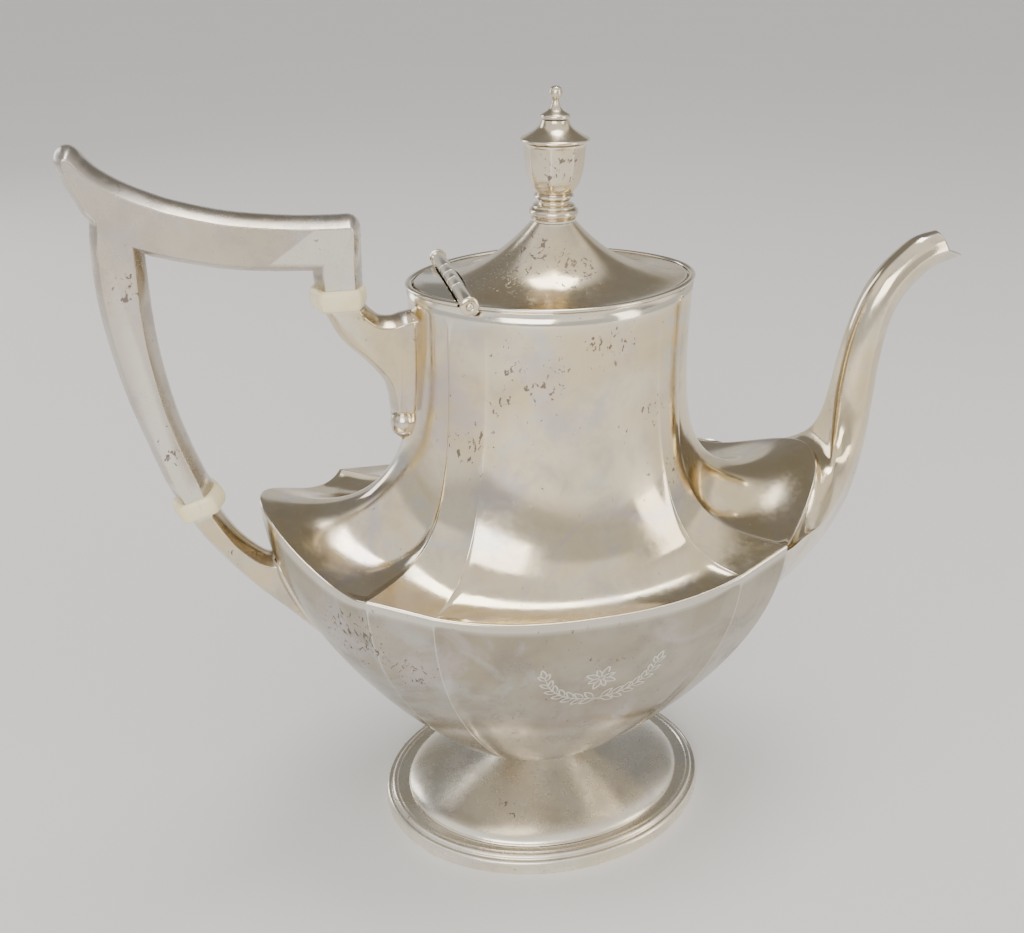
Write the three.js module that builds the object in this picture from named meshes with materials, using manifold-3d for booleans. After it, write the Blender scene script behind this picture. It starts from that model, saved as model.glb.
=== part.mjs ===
// Panelled silver coffee pot with an angular hollow handle, two insulators, a hinged lid and an urn
// finial. Millimetres, +Z up, spout towards +X, handle towards -X, mirror symmetric about y = 0.
// The pot stands on z = 0. Shapes are written about the axis of the foot, and the finished group is
// moved along X so that the spout lip and the thumb piece reach equally far.

import * as THREE from 'three';
import { mergeVertices } from 'three/addons/utils/BufferGeometryUtils.js';
import Module from 'manifold-3d';

const wasm = await Module();
wasm.setup();

// ---------------------------------------------------------------- driving dimensions

const GAP = 0.3;                    // solder line or working gap between two pieces
const SHEET = 1.2;                  // gauge of the body sheet

const FOOT_X = 58.4;                // half axes of the foot's lower edge
const FOOT_Y = 45.0;
const STEM_X = 12.0;                // half axes of the stem under the bowl
const STEM_Y = 9.6;
const STEM_Z = 19.5;                // where the bowl meets the stem
const DOME_Z = 6.0;                 // where the dome leaves the rim
const DOME_RISE = 8.0;              // height that it gains before the stem
const BELLY = 0.62;                 // how much flatter than a parabola the bowl leaves the stem

const SHOULDER_SPOUT_END = { x: 91.0, z: 128.4 };       // boat-shaped tips of the end panels
const SHOULDER_HANDLE_END = { x: 89.8, z: 131.0 };
const SHOULDER_CORNER = { x: 63.6, y: 41.4, z: 116.9 };  // sharp corner beside an end panel
const SHOULDER_SOFT = { x: 46.0, y: 48.4, z: 113.2 };    // soft corner beside a side panel
const SHOULDER_SIDE = { y: 54.1, z: 109.6 };             // middle of each side panel

const MOUTH_X = 41.8;               // half axes of the neck's top edge
const MOUTH_Y = 30.9;
const MOUTH_Z = 192.0;
const MOUTH_LOBE = 0.017;           // how far the mouth is squared towards its axes
const MOUTH_SHARP_ANGLE = 34;       // degrees round the mouth where each ridge arrives
const MOUTH_SOFT_ANGLE = 52;
const RIM_WIRE = 0.95;              // half width of the flattened wire soldered round the mouth
const RIM_RISE = 0.6;               // half its height

const HINGE_X = -29.35;
const HINGE_Z = 193.7;
const BARREL = 2.1;                 // radius of the hinge barrel
const PIN = 0.95;                   // radius of the hinge pin
const PIN_BORE = 1.03;
const KNUCKLES = [14, 6.4, 6.4, 6.4, 14];   // knuckle lengths along Y

const LID_X = 39.7;                 // half axes of the lid's edge
const LID_Y = 28.8;
const LID_EDGE_Z = 192.7;
const LID_TOP_Z = 209.2;
const LID_TOP_R = 6.1;
const BEZEL_DEPTH = 6;

const HANDLE_HALF = 6.0;            // half thickness at the flat faces
const KEEL = 2.3;                   // how far the pointed edges stand out past the flat faces
const THUMB = { x: -127.3, z: 234.6 };
const LIP = { x: 135.4, z: 190.2 };
const TOTAL_Z = 245;

// ---------------------------------------------------------------- materials

const silver = (tint, roughness) => new THREE.MeshStandardMaterial({
  color: tint, roughness, metalness: 1,
});
const BODY_SILVER = silver(0xc9c2b6, 0.24);
const HANDLE_SILVER = silver(0xcbc3b4, 0.27);
const LID_SILVER = silver(0xc4bda9, 0.26);
const HIDDEN_METAL = silver(0x9c958a, 0.42);
const INSULATOR = new THREE.MeshStandardMaterial({ color: 0xe9dcb4, roughness: 0.42, metalness: 0 });

const inner = new THREE.Group();

function add(name, geometry, material) {
  const mesh = new THREE.Mesh(geometry, material);
  mesh.name = name;
  inner.add(mesh);
}

// ---------------------------------------------------------------- solids

function solidOf(geometry) {
  const bare = geometry.clone();
  bare.deleteAttribute('normal');
  bare.deleteAttribute('uv');
  const merged = mergeVertices(bare, 1e-4);
  return new wasm.Manifold(new wasm.Mesh({
    numProp: 3,
    vertProperties: new Float32Array(merged.attributes.position.array),
    triVerts: new Uint32Array(merged.index.array),
  }));
}

function geometryOf(solid) {
  const mesh = solid.getMesh();
  const geometry = new THREE.BufferGeometry();
  geometry.setAttribute('position', new THREE.BufferAttribute(new Float32Array(mesh.vertProperties), 3));
  geometry.setIndex(new THREE.BufferAttribute(new Uint32Array(mesh.triVerts), 1));
  return geometry;
}

function cut(geometry, ...tools) {
  let solid = solidOf(geometry);
  for (const tool of tools) {
    solid = solid.subtract(solidOf(tool));
  }
  return geometryOf(solid);
}

function join(geometry, ...others) {
  let solid = solidOf(geometry);
  for (const other of others) {
    solid = solid.add(solidOf(other));
  }
  return geometryOf(solid);
}

// The largest of the separate bodies that a cut leaves; the rest is scrap.
function biggest(solid) {
  const pieces = solid.decompose();
  pieces.sort((p, q) => q.volume() - p.volume());
  return geometryOf(pieces[0]);
}

function keep(geometry, region) {
  return geometryOf(solidOf(geometry).intersect(solidOf(region)));
}

// A surface through loops of equal length. With wrap the last loop joins the first, as in a tube
// with an inside and an outside; without it both ends are closed by flat fans.
function loft(loops, wrap = false) {
  const around = loops[0].length;
  const points = loops.flat();
  const faces = [];
  const bands = wrap ? loops.length : loops.length - 1;
  for (let row = 0; row < bands; row += 1) {
    const next = (row + 1) % loops.length;
    for (let i = 0; i < around; i += 1) {
      const j = (i + 1) % around;
      const [a, b] = [row * around + i, row * around + j];
      const [c, d] = [next * around + j, next * around + i];
      faces.push([a, b, c], [a, c, d]);
    }
  }
  if (!wrap) {
    for (const [row, first] of [[0, true], [loops.length - 1, false]]) {
      const centre = points.length;
      const middle = new THREE.Vector3();
      loops[row].forEach((p) => middle.addScaledVector(p, 1 / around));
      points.push(middle);
      for (let i = 0; i < around; i += 1) {
        const [a, b] = [row * around + i, row * around + (i + 1) % around];
        faces.push(first ? [centre, b, a] : [centre, a, b]);
      }
    }
  }
  return outward(points, faces);
}

function outward(points, faces) {
  let volume = 0;
  const normal = new THREE.Vector3();
  for (const [a, b, c] of faces) {
    volume += points[a].dot(normal.crossVectors(points[b], points[c]));
  }
  const ordered = volume > 0 ? faces : faces.map(([a, b, c]) => [a, c, b]);
  const geometry = new THREE.BufferGeometry().setFromPoints(points);
  geometry.setIndex(ordered.flat());
  return geometry;
}

// A turned piece: the profile is a list of [radius, z], starting and ending on the axis or closing
// on itself.
function turned(profile, sides, x = 0, stretchY = 1) {
  const points = profile.map(([r, z]) => new THREE.Vector2(r, z));
  const geometry = new THREE.LatheGeometry(points, sides);
  geometry.rotateX(Math.PI / 2);
  geometry.scale(1, stretchY, 1);
  geometry.translate(x, 0, 0);
  return geometryOf(outwardSolid(geometry));
}

function outwardSolid(geometry) {
  const bare = geometry.clone();
  bare.deleteAttribute('normal');
  bare.deleteAttribute('uv');
  const merged = mergeVertices(bare, 1e-4);
  const points = [];
  const source = merged.attributes.position;
  for (let i = 0; i < source.count; i += 1) {
    points.push(new THREE.Vector3().fromBufferAttribute(source, i));
  }
  const faces = [];
  for (let i = 0; i < merged.index.count; i += 3) {
    const face = [0, 1, 2].map((k) => merged.index.getX(i + k));
    if (new Set(face).size === 3) {
      faces.push(face);
    }
  }
  return solidOf(outward(points, faces));
}

// A flat piece drawn in the XZ plane and given thickness along Y. The two faces lie at +-half, and
// the edges swell outwards by keel to a ridge on the mid plane.
function keeled(outline, half, keel) {
  const geometry = new THREE.ExtrudeGeometry(outline, {
    depth: 0.02, bevelEnabled: true, bevelThickness: half - 0.01, bevelSize: keel, bevelSegments: 1,
    curveSegments: 3,
  });
  geometry.rotateX(Math.PI / 2);
  geometry.translate(0, 0.01, 0);
  return geometryOf(outwardSolid(geometry));
}

function box(x0, x1, y0, y1, z0, z1) {
  const geometry = new THREE.BoxGeometry(x1 - x0, y1 - y0, z1 - z0);
  geometry.translate((x0 + x1) / 2, (y0 + y1) / 2, (z0 + z1) / 2);
  return geometry;
}

function rodY(radius, y0, y1, x, z, sides = 16) {
  const geometry = new THREE.CylinderGeometry(radius, radius, y1 - y0, sides);
  geometry.translate(x, (y0 + y1) / 2, z);
  return geometry;
}

function rodX(radius, x0, x1, y, z, sides = 12) {
  const geometry = new THREE.CylinderGeometry(radius, radius, x1 - x0, sides);
  geometry.rotateZ(Math.PI / 2);
  geometry.translate((x0 + x1) / 2, y, z);
  return geometry;
}

// ---------------------------------------------------------------- the eight-panelled body

const STEPS = { end: 10, corner: 2, side: 10 };
const ROWS = 7;

const radians = THREE.MathUtils.degToRad;
const mix = THREE.MathUtils.lerp;

function onMouth(degrees) {
  const a = radians(degrees);
  const lobe = 1 + MOUTH_LOBE * Math.cos(4 * a);
  return new THREE.Vector2(MOUTH_X * lobe * Math.cos(a), MOUTH_Y * lobe * Math.sin(a));
}

// The end panel's edge, from its tip (0) to its corner (1): how far it has fallen back, and down.
const endPlan = (s) => 1.443 * s ** 2 - 0.443 * s ** 4;
const endRise = (s) => 2.795 * s ** 2 - 1.795 * s ** 4;

// One quarter of the plan, from the middle of an end to the middle of the +Y side. Each
// station holds its shoulder point, its angles round mouth and stem, and how its upward sweep bends.
function quarterStations(end) {
  const stations = [];
  const cornerPolar = THREE.MathUtils.radToDeg(Math.atan2(SHOULDER_CORNER.y, SHOULDER_CORNER.x));
  const softPolar = THREE.MathUtils.radToDeg(Math.atan2(SHOULDER_SOFT.y, SHOULDER_SOFT.x));
  const half = STEPS.end / 2;
  for (let i = 0; i <= half; i += 1) {
    const s = i / half;
    stations.push({
      x: mix(end.x, SHOULDER_CORNER.x, endPlan(s)), y: SHOULDER_CORNER.y * s,
      z: mix(end.z, SHOULDER_CORNER.z, endRise(s)),
      mouth: MOUTH_SHARP_ANGLE * s, stem: cornerPolar * s,
      sweep: mix(0.1, 0.2, s * s), dip: 6 * (1 - s * s),
    });
  }
  for (let i = 1; i <= STEPS.corner; i += 1) {
    const s = i / STEPS.corner;
    stations.push({
      x: mix(SHOULDER_CORNER.x, SHOULDER_SOFT.x, s), y: mix(SHOULDER_CORNER.y, SHOULDER_SOFT.y, s),
      z: mix(SHOULDER_CORNER.z, SHOULDER_SOFT.z, s),
      mouth: mix(MOUTH_SHARP_ANGLE, MOUTH_SOFT_ANGLE, s), stem: mix(cornerPolar, softPolar, s),
      sweep: mix(0.2, 0.5, s), dip: 0,
    });
  }
  const sideHalf = STEPS.side / 2;
  for (let i = 1; i <= sideHalf; i += 1) {
    const t = 1 - i / sideHalf;
    const bow = t ** 2.4;
    stations.push({
      x: SHOULDER_SOFT.x * t, y: mix(SHOULDER_SIDE.y, SHOULDER_SOFT.y, bow),
      z: mix(SHOULDER_SIDE.z, SHOULDER_SOFT.z, bow),
      mouth: mix(90, MOUTH_SOFT_ANGLE, t), stem: mix(90, softPolar, t),
      sweep: 0.5, dip: 0,
    });
  }
  return stations;
}

// The whole plan, counter-clockwise from the spout end, by mirroring the quarters.
function allStations() {
  const quarter = quarterStations(SHOULDER_SPOUT_END);
  const mirrorX = (s) => ({ ...s, x: -s.x, mouth: 180 - s.mouth, stem: 180 - s.stem });
  const mirrorY = (s) => ({ ...s, y: -s.y, mouth: 360 - s.mouth, stem: 360 - s.stem });
  const handleQuarter = quarterStations(SHOULDER_HANDLE_END).slice(0, -1).reverse().map(mirrorX);
  const upper = [...quarter, ...handleQuarter];
  const lower = upper.slice(1, -1).reverse().map(mirrorY);
  return [...upper, ...lower];
}

const STATIONS = allStations();

const bezier = (a, b, c, d, v) => (
  a * (1 - v) ** 3 + 3 * b * (1 - v) ** 2 * v + 3 * c * (1 - v) * v ** 2 + d * v ** 3
);

// A point of the upper body: v runs from the shoulder (0) to the mouth (1).
function upperPoint(station, v) {
  const spread = bezier(1, station.sweep, 0.02, 0, v);
  const height = bezier(0, 0, 0.1, 1, v);
  const waist = mix(0.972, 1, height ** 4);
  const mouth = onMouth(station.mouth).multiplyScalar(waist);
  const z = mix(station.z, MOUTH_Z, height) - station.dip * 4 * spread * (1 - spread);
  return new THREE.Vector3(
    mix(mouth.x, station.x, spread), mix(mouth.y, station.y, spread), z,
  );
}

// A point of the bowl: w runs from the stem (0) to the shoulder (1) along a parabola, which is
// pulled down into a flatter belly above the stem.
function bowlPoint(station, w) {
  const a = radians(station.stem);
  const full = 1 - (1 - w) ** 2;
  const height = w - BELLY * w * (1 - w) ** 5;
  return new THREE.Vector3(
    mix(STEM_X * Math.cos(a), station.x, full),
    mix(STEM_Y * Math.sin(a), station.y, full),
    mix(STEM_Z, station.z, height),
  );
}

function surfaceRows(pointAt, from, to, rows) {
  const loops = [];
  for (let k = 0; k <= rows; k += 1) {
    const v = mix(from, to, k / rows);
    loops.push(STATIONS.map((station) => pointAt(station, v)));
  }
  return loops;
}

// The same surface moved along its normals; the shoulder row moves along the mitre instead.
function offsetRows(loops, distance, mitreRow = -1) {
  const last = loops.length - 1;
  return loops.map((loop, row) => loop.map((p, i) => {
    if (row === mitreRow) {
      const away = new THREE.Vector3(p.x, p.y * 1.6, 0).normalize();
      return p.clone().addScaledVector(away, distance).add(new THREE.Vector3(0, 0, distance));
    }
    const before = loop[(i + loop.length - 1) % loop.length];
    const after = loop[(i + 1) % loop.length];
    const along = new THREE.Vector3().subVectors(after, before);
    const up = new THREE.Vector3().subVectors(loops[Math.min(row + 1, last)][i],
      loops[Math.max(row - 1, 0)][i]);
    const normal = new THREE.Vector3().crossVectors(along, up).normalize();
    return p.clone().addScaledVector(normal, distance);
  }));
}

const upperRows = surfaceRows(upperPoint, 0, 1, ROWS);
const bowlRows = surfaceRows(bowlPoint, 0, 1, ROWS);
const bowlInner = surfaceRows(bowlPoint, 0.03, 1, ROWS);

function shifted(loops, dz) {
  return loops.map((loop) => loop.map((p) => p.clone().add(new THREE.Vector3(0, 0, dz))));
}

// The body's whole outer surface as one solid, grown by a gap. Its neighbours are cut by it.
function hull(gap) {
  const lower = offsetRows(bowlRows, gap, ROWS).slice(0, ROWS);
  const seam = offsetRows(upperRows, gap, 0);
  return loft([...lower, ...seam]);
}

const HULL = hull(GAP);

const barrelCutter = rodY(BARREL + GAP, -40, 40, HINGE_X, HINGE_Z, 24);

function makeBody() {
  const upperSkin = shifted(upperRows, GAP / 2);
  const upperInside = shifted(offsetRows(upperRows, -SHEET, 0), GAP / 2);
  const upper = loft([...upperSkin, ...upperInside.reverse()], true);
  add('upper_body', cut(upper, barrelCutter), BODY_SILVER);

  const bowlSkin = shifted(bowlRows, -GAP / 2);
  const bowlInside = shifted(offsetRows(bowlInner, -SHEET, ROWS), -GAP / 2);
  const bowl = loft([...bowlSkin, ...bowlInside.reverse()]);
  const holes = [];
  for (const [y, z] of [[0, 112], [-9, 107], [9, 107], [0, 102], [-8, 96], [8, 96], [0, 91]]) {
    holes.push(rodX(2.4, 66, 100, y, z));
  }
  add('bowl', cut(bowl, ...holes), BODY_SILVER);
}

// ---------------------------------------------------------------- rim, foot

// The wire is interrupted by the hinge barrel, which leaves one length on each side of it.
function makeRim() {
  const sides = 6;
  const loops = [];
  const steps = 42;
  for (let i = 0; i < steps; i += 1) {
    const degrees = (360 * i) / steps;
    const centre = onMouth(degrees);
    const ahead = onMouth(degrees + 1);
    const out = new THREE.Vector2(ahead.y - centre.y, centre.x - ahead.x).normalize();
    centre.addScaledVector(out, -SHEET / 2);
    const ring = [];
    for (let k = 0; k < sides; k += 1) {
      const a = (2 * Math.PI * k) / sides;
      ring.push(new THREE.Vector3(
        centre.x + out.x * RIM_WIRE * Math.cos(a), centre.y + out.y * RIM_WIRE * Math.cos(a),
        MOUTH_Z + GAP + RIM_RISE + RIM_RISE * Math.sin(a),
      ));
    }
    loops.push(ring);
  }
  const wire = loft(loops, true);
  const lengths = solidOf(wire).subtract(solidOf(barrelCutter)).decompose();
  lengths.sort((p, q) => q.volume() - p.volume());
  add('mouth_rim', geometryOf(lengths[0]), BODY_SILVER);
  add('mouth_rim_behind_hinge', geometryOf(lengths[1]), BODY_SILVER);
}

function makeFoot() {
  const flatten = FOOT_Y / FOOT_X;
  const rim = [
    [0.955, 0], [1, 0], [1, 4.4], [0.985, 5.4], [0.965, 5.0], [0.952, 6.2], [0.935, 6.1],
    [0.86, 6.4], [0.86, 5.2], [0.955, 4.0], [0.955, 0],
  ];
  add('foot_rim', turned(rim.map(([r, z]) => [r * FOOT_X, z]), 42, 0, flatten), BODY_SILVER);

  const steps = 8;
  const loops = [];
  for (let i = 0; i <= steps; i += 1) {
    loops.push(footLoop(i / steps, 0));
  }
  for (let i = steps; i >= 0; i -= 1) {
    loops.push(footLoop(i / steps, SHEET));
  }
  add('foot_dome', loft(loops, true), BODY_SILVER);
}

// A level ellipse of the foot's dome: s runs from the outer edge (0) to the stem (1). The dome
// rises steeply from its edge, runs almost level, and sweeps up again at the stem.
function footLoop(s, inset) {
  const reach = (1 - s) ** 1.9;
  const edge = 0.855;
  const risen = 1 - reach;
  const stemRise = STEM_Z - GAP - DOME_Z - DOME_RISE;
  const lift = DOME_Z + DOME_RISE * Math.sqrt(risen) + stemRise * risen ** 3;
  const halfX = mix(STEM_X, FOOT_X * edge, reach) - inset * s;
  const halfY = mix(STEM_Y, FOOT_Y * edge, reach) - inset * s;
  const around = 36;
  const loop = [];
  for (let i = 0; i < around; i += 1) {
    const a = (2 * Math.PI * i) / around;
    loop.push(new THREE.Vector3(halfX * Math.cos(a), halfY * Math.sin(a),
      lift - (inset > 0 ? inset * (1 - s) : 0)));
  }
  return loop;
}

// ---------------------------------------------------------------- spout

// Stations up the spout: the inner edge a, the outer keel k, and the side ridge r with its half
// width. The first stations reach into the body and are trimmed by it.
const SPOUT = [
  { a: [82.0, 121.0], k: [58.0, 58.0], r: [56.0, 39.0, 111.0], hug: 1 },
  { a: [88.6, 126.6], k: [70.0, 66.0], r: [64.0, 41.2, 115.0], hug: 1 },
  { a: [92.4, 127.4], k: [80.0, 73.2], r: [71.4, 36.6, 115.6], hug: 0.8 },
  { a: [94.4, 129.6], k: [91.0, 82.2], r: [84.0, 26.6, 114.2], hug: 0.45 },
  { a: [95.3, 134.0], k: [101.2, 93.2], r: [95.4, 15.8, 115.6], hug: 0.15 },
  { a: [96.0, 140.0], k: [108.2, 107.0], r: [101.6, 10.4, 123.0], hug: 0 },
  { a: [96.6, 149.7], k: [111.3, 124.5], r: [104.6, 7.8, 136.0], hug: 0 },
  { a: [97.6, 160.0], k: [111.9, 142.0], r: [105.2, 6.8, 148.6], hug: 0 },
  { a: [99.4, 170.0], k: [112.0, 157.0], r: [105.6, 6.2, 161.0], hug: 0 },
  { a: [102.4, 179.6], k: [113.4, 169.6], r: [107.2, 5.8, 173.2], hug: 0 },
  { a: [106.8, 187.2], k: [116.4, 177.4], r: [110.4, 5.6, 182.0], hug: 0 },
  { a: [112.6, 193.2], k: [121.0, 183.0], r: [115.4, 5.4, 188.0], hug: 0 },
  { a: [118.0, 197.2], k: [126.2, 187.2], r: [120.6, 5.2, 191.6], hug: 0 },
  { a: [124.4, 198.8], k: [LIP.x, LIP.z], r: [127.2, 4.6, 193.2], hug: 0 },
];

// Half of each loop runs from the inner edge round to the side ridge and on to the keel. Near the
// body (hug 1) it lies under the end panel's edge; further up (hug 0) it is a quarter ellipse.
function spoutLoop(station, inset) {
  const [ax, az] = station.a;
  const [kx, kz] = station.k;
  const [rx, ry, rz] = station.r;
  const centre = new THREE.Vector3((ax + kx) / 2, 0, (az + kz) / 2);
  const quarter = 6;
  const keel = 3;
  const half = [];
  for (let i = 0; i <= quarter; i += 1) {
    const s = i / quarter;
    const a = (Math.PI / 2) * s;
    half.push(new THREE.Vector3(
      mix(ax, rx, mix(1 - Math.cos(a), endPlan(s), station.hug)),
      ry * mix(Math.sin(a), s, station.hug),
      mix(az, rz, mix(1 - Math.cos(a), endRise(s), station.hug)),
    ));
  }
  for (let i = 1; i <= keel; i += 1) {
    const s = i / keel;
    const bulge = 0.16 * Math.sin(Math.PI * s);
    half.push(new THREE.Vector3(mix(rx, kx, s + bulge), ry * (1 - s), mix(rz, kz, s + bulge)));
  }
  const other = half.slice(1, -1).reverse().map((p) => new THREE.Vector3(p.x, -p.y, p.z));
  return [...half, ...other].map((p) => {
    const inwards = new THREE.Vector3().subVectors(centre, p);
    return p.clone().addScaledVector(inwards.normalize(), inset);
  });
}

function makeSpout() {
  const outside = SPOUT.map((station) => spoutLoop(station, 0));
  const inside = SPOUT.map((station) => spoutLoop(station, 1.0)).reverse();
  const tube = loft([...outside, ...inside], true);
  add('spout', biggest(solidOf(tube).subtract(solidOf(HULL))), BODY_SILVER);
}

// ---------------------------------------------------------------- handle

// Silhouette of the handle on its mid plane; the flat faces are smaller by the keel.
function handleOutline() {
  const shape = new THREE.Shape();
  const k = KEEL;
  shape.moveTo(-68.2 + k, 195.0 + k / 4);
  shape.lineTo(-68.2 + k, 201.4);
  shape.splineThru([
    new THREE.Vector2(-78, 202.0), new THREE.Vector2(-90, 203.4), new THREE.Vector2(-101, 205.9),
    new THREE.Vector2(-108.3, 208.0),
  ]);
  shape.quadraticCurveTo(-112.4, 209.2, -112.8, 204.0);
  shape.splineThru([
    new THREE.Vector2(-113.4, 193.4), new THREE.Vector2(-113.2, 180.4),
    new THREE.Vector2(-111.5, 164.2), new THREE.Vector2(-108.9, 151.4),
    new THREE.Vector2(-105.9, 140.8),
  ]);
  shape.lineTo(-110.6, 132.9);
  shape.lineTo(-113.2, 141.0);
  shape.splineThru([
    new THREE.Vector2(-116.4, 154.4), new THREE.Vector2(-119.3, 167.8),
    new THREE.Vector2(-121.5, 183.6), new THREE.Vector2(-122.2, 197.5),
    new THREE.Vector2(-121.6, 209.0), new THREE.Vector2(-120.6, 215.6),
  ]);
  shape.lineTo(-122.6, 219.2);
  shape.splineThru([
    new THREE.Vector2(-124.6, 224.2), new THREE.Vector2(-125.8, 229.0),
    new THREE.Vector2(-126.1, 232.4),
  ]);
  shape.quadraticCurveTo(-126.0, 234.0, -124.9, 232.8);
  shape.splineThru([
    new THREE.Vector2(-120.4, 227.8), new THREE.Vector2(-114.6, 223.8),
    new THREE.Vector2(-108.0, 220.4), new THREE.Vector2(-101.5, 217.8),
    new THREE.Vector2(-88.8, 214.4), new THREE.Vector2(-72.9, 212.3),
    new THREE.Vector2(-59.5, 211.8),
  ]);
  shape.quadraticCurveTo(-56.4, 211.8, -56.4, 208.6);
  shape.lineTo(-56.8, 195.4);
  shape.closePath();
  return shape;
}

// The hollow inside the handle, open at both ends for the insulators' tenons.
function handleHollow() {
  const shape = new THREE.Shape();
  shape.moveTo(-66.0, 190);
  shape.lineTo(-66.0, 203.6);
  shape.splineThru([
    new THREE.Vector2(-78, 204.0), new THREE.Vector2(-92, 205.8), new THREE.Vector2(-104, 209.0),
    new THREE.Vector2(-114.6, 211.6),
  ]);
  shape.splineThru([
    new THREE.Vector2(-115.4, 196.0), new THREE.Vector2(-115.1, 180.4),
    new THREE.Vector2(-113.6, 165.0), new THREE.Vector2(-110.8, 151.8),
    new THREE.Vector2(-106.6, 137.0),
  ]);
  shape.lineTo(-104.4, 130.0);
  shape.lineTo(-110.0, 128.0);
  shape.lineTo(-112.6, 137.0);
  shape.splineThru([
    new THREE.Vector2(-114.6, 154.4), new THREE.Vector2(-117.5, 168.2),
    new THREE.Vector2(-119.6, 184.0), new THREE.Vector2(-120.2, 197.5),
    new THREE.Vector2(-119.4, 213.0), new THREE.Vector2(-114.0, 219.0),
  ]);
  shape.splineThru([
    new THREE.Vector2(-103.0, 215.6), new THREE.Vector2(-89.0, 212.0),
    new THREE.Vector2(-73.0, 210.2), new THREE.Vector2(-58.6, 209.4),
  ]);
  shape.lineTo(-58.6, 190);
  shape.closePath();
  return shape;
}

const UPPER_JOINT = { x: -61.7, z: 191.6, tilt: 0 };
const LOWER_JOINT = { x: -107.0, z: 132.4, tilt: 17 };
const JOINT_HALF = 3.1;             // half the height of an insulator
const TENON = 2.0;                  // half width of a tenon
const TENON_REACH = 3.4;            // how far a tenon stands out of the insulator
const PEG = 0.8;                    // radius of a peg through a tenon

// Places a shape modelled about the origin, axis up, at a handle joint.
function atJoint(geometry, joint) {
  geometry.rotateY(-radians(joint.tilt));
  geometry.translate(joint.x, 0, joint.z);
  return geometry;
}

function hexagon(halfX, halfY, keel) {
  const shape = new THREE.Shape();
  shape.moveTo(halfX - keel, halfY);
  shape.lineTo(-halfX + keel, halfY);
  shape.lineTo(-halfX, 0);
  shape.lineTo(-halfX + keel, -halfY);
  shape.lineTo(halfX - keel, -halfY);
  shape.lineTo(halfX, 0);
  shape.closePath();
  return shape;
}

function makeInsulator(name, joint, halfX) {
  const round = 1.6;
  const ring = new THREE.ExtrudeGeometry(hexagon(halfX - round / 2, 6.0, 2.6), {
    depth: 2 * (JOINT_HALF - round), bevelEnabled: true, bevelThickness: round,
    bevelSize: 1.3, bevelSegments: 2,
  });
  ring.translate(0, 0, -(JOINT_HALF - round));
  const tenon = box(-TENON, TENON, -TENON, TENON, -JOINT_HALF - TENON_REACH, JOINT_HALF + TENON_REACH);
  const holes = pegHeights().map((z) => rodY(PEG + GAP, -9, 9, 0, z, 12));
  const whole = cut(join(ring, tenon), ...holes);
  add(name, atJoint(whole, joint), INSULATOR);
}

function pegHeights() {
  const middle = JOINT_HALF + TENON_REACH / 2 + 0.4;
  return [-middle, middle];
}

function pegAt(joint, height, radius, half) {
  return atJoint(rodY(radius, -half, half, 0, height, 12), joint);
}

function tenonSocket(joint, side) {
  const reach = TENON + GAP;
  const z0 = side > 0 ? JOINT_HALF : -JOINT_HALF - TENON_REACH - GAP;
  const z1 = side > 0 ? JOINT_HALF + TENON_REACH + GAP : -JOINT_HALF;
  return atJoint(box(-reach, reach, -reach, reach, z0, z1), joint);
}

// Everything within the height of an insulator, so that its neighbours stop short of it.
function jointSlot(joint) {
  const room = JOINT_HALF + GAP;
  return atJoint(box(-14, 14, -14, 14, -room, room), joint);
}

function makeHandle() {
  const whole = keeled(handleOutline(), HANDLE_HALF, KEEL);
  const hollow = new THREE.ExtrudeGeometry(handleHollow(), {
    depth: 2 * (HANDLE_HALF - SHEET), bevelEnabled: false, curveSegments: 2,
  });
  hollow.rotateX(Math.PI / 2);
  hollow.translate(0, HANDLE_HALF - SHEET, 0);
  const tools = [geometryOf(outwardSolid(hollow)), jointSlot(UPPER_JOINT), jointSlot(LOWER_JOINT)];
  for (const joint of [UPPER_JOINT, LOWER_JOINT]) {
    tools.push(tenonSocket(joint, 1), pegAt(joint, pegHeights()[1], PEG + GAP, 9));
  }
  const shell = solidOf(cut(whole, ...tools));
  for (const [name, y0, y1] of [['handle_front_half', -20, -GAP / 2], ['handle_back_half', GAP / 2, 20]]) {
    const half = shell.intersect(solidOf(box(-140, -40, y0, y1, 120, 250)));
    add(name, biggest(half), HANDLE_SILVER);
  }
  makeInsulator('upper_insulator', UPPER_JOINT, 7.9);
  makeInsulator('lower_insulator', LOWER_JOINT, 7.6);
  const reach = HANDLE_HALF - 0.6;
  for (const [name, joint] of [['upper_insulator', UPPER_JOINT], ['lower_insulator', LOWER_JOINT]]) {
    add(`${name}_handle_peg`, pegAt(joint, pegHeights()[1], PEG, HANDLE_HALF), HIDDEN_METAL);
    add(`${name}_socket_peg`, pegAt(joint, pegHeights()[0], PEG, reach), HIDDEN_METAL);
  }
}

// ---------------------------------------------------------------- handle sockets on the body

const SOCKET_HALF = 5.4;
const SOCKET_KEEL = 1.8;
const FLANGE = 1.5;                 // how far the lower socket's flange stands off the bowl
const BUD = { x: -45.4, z: 151.6, r: 3.9 };

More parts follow.
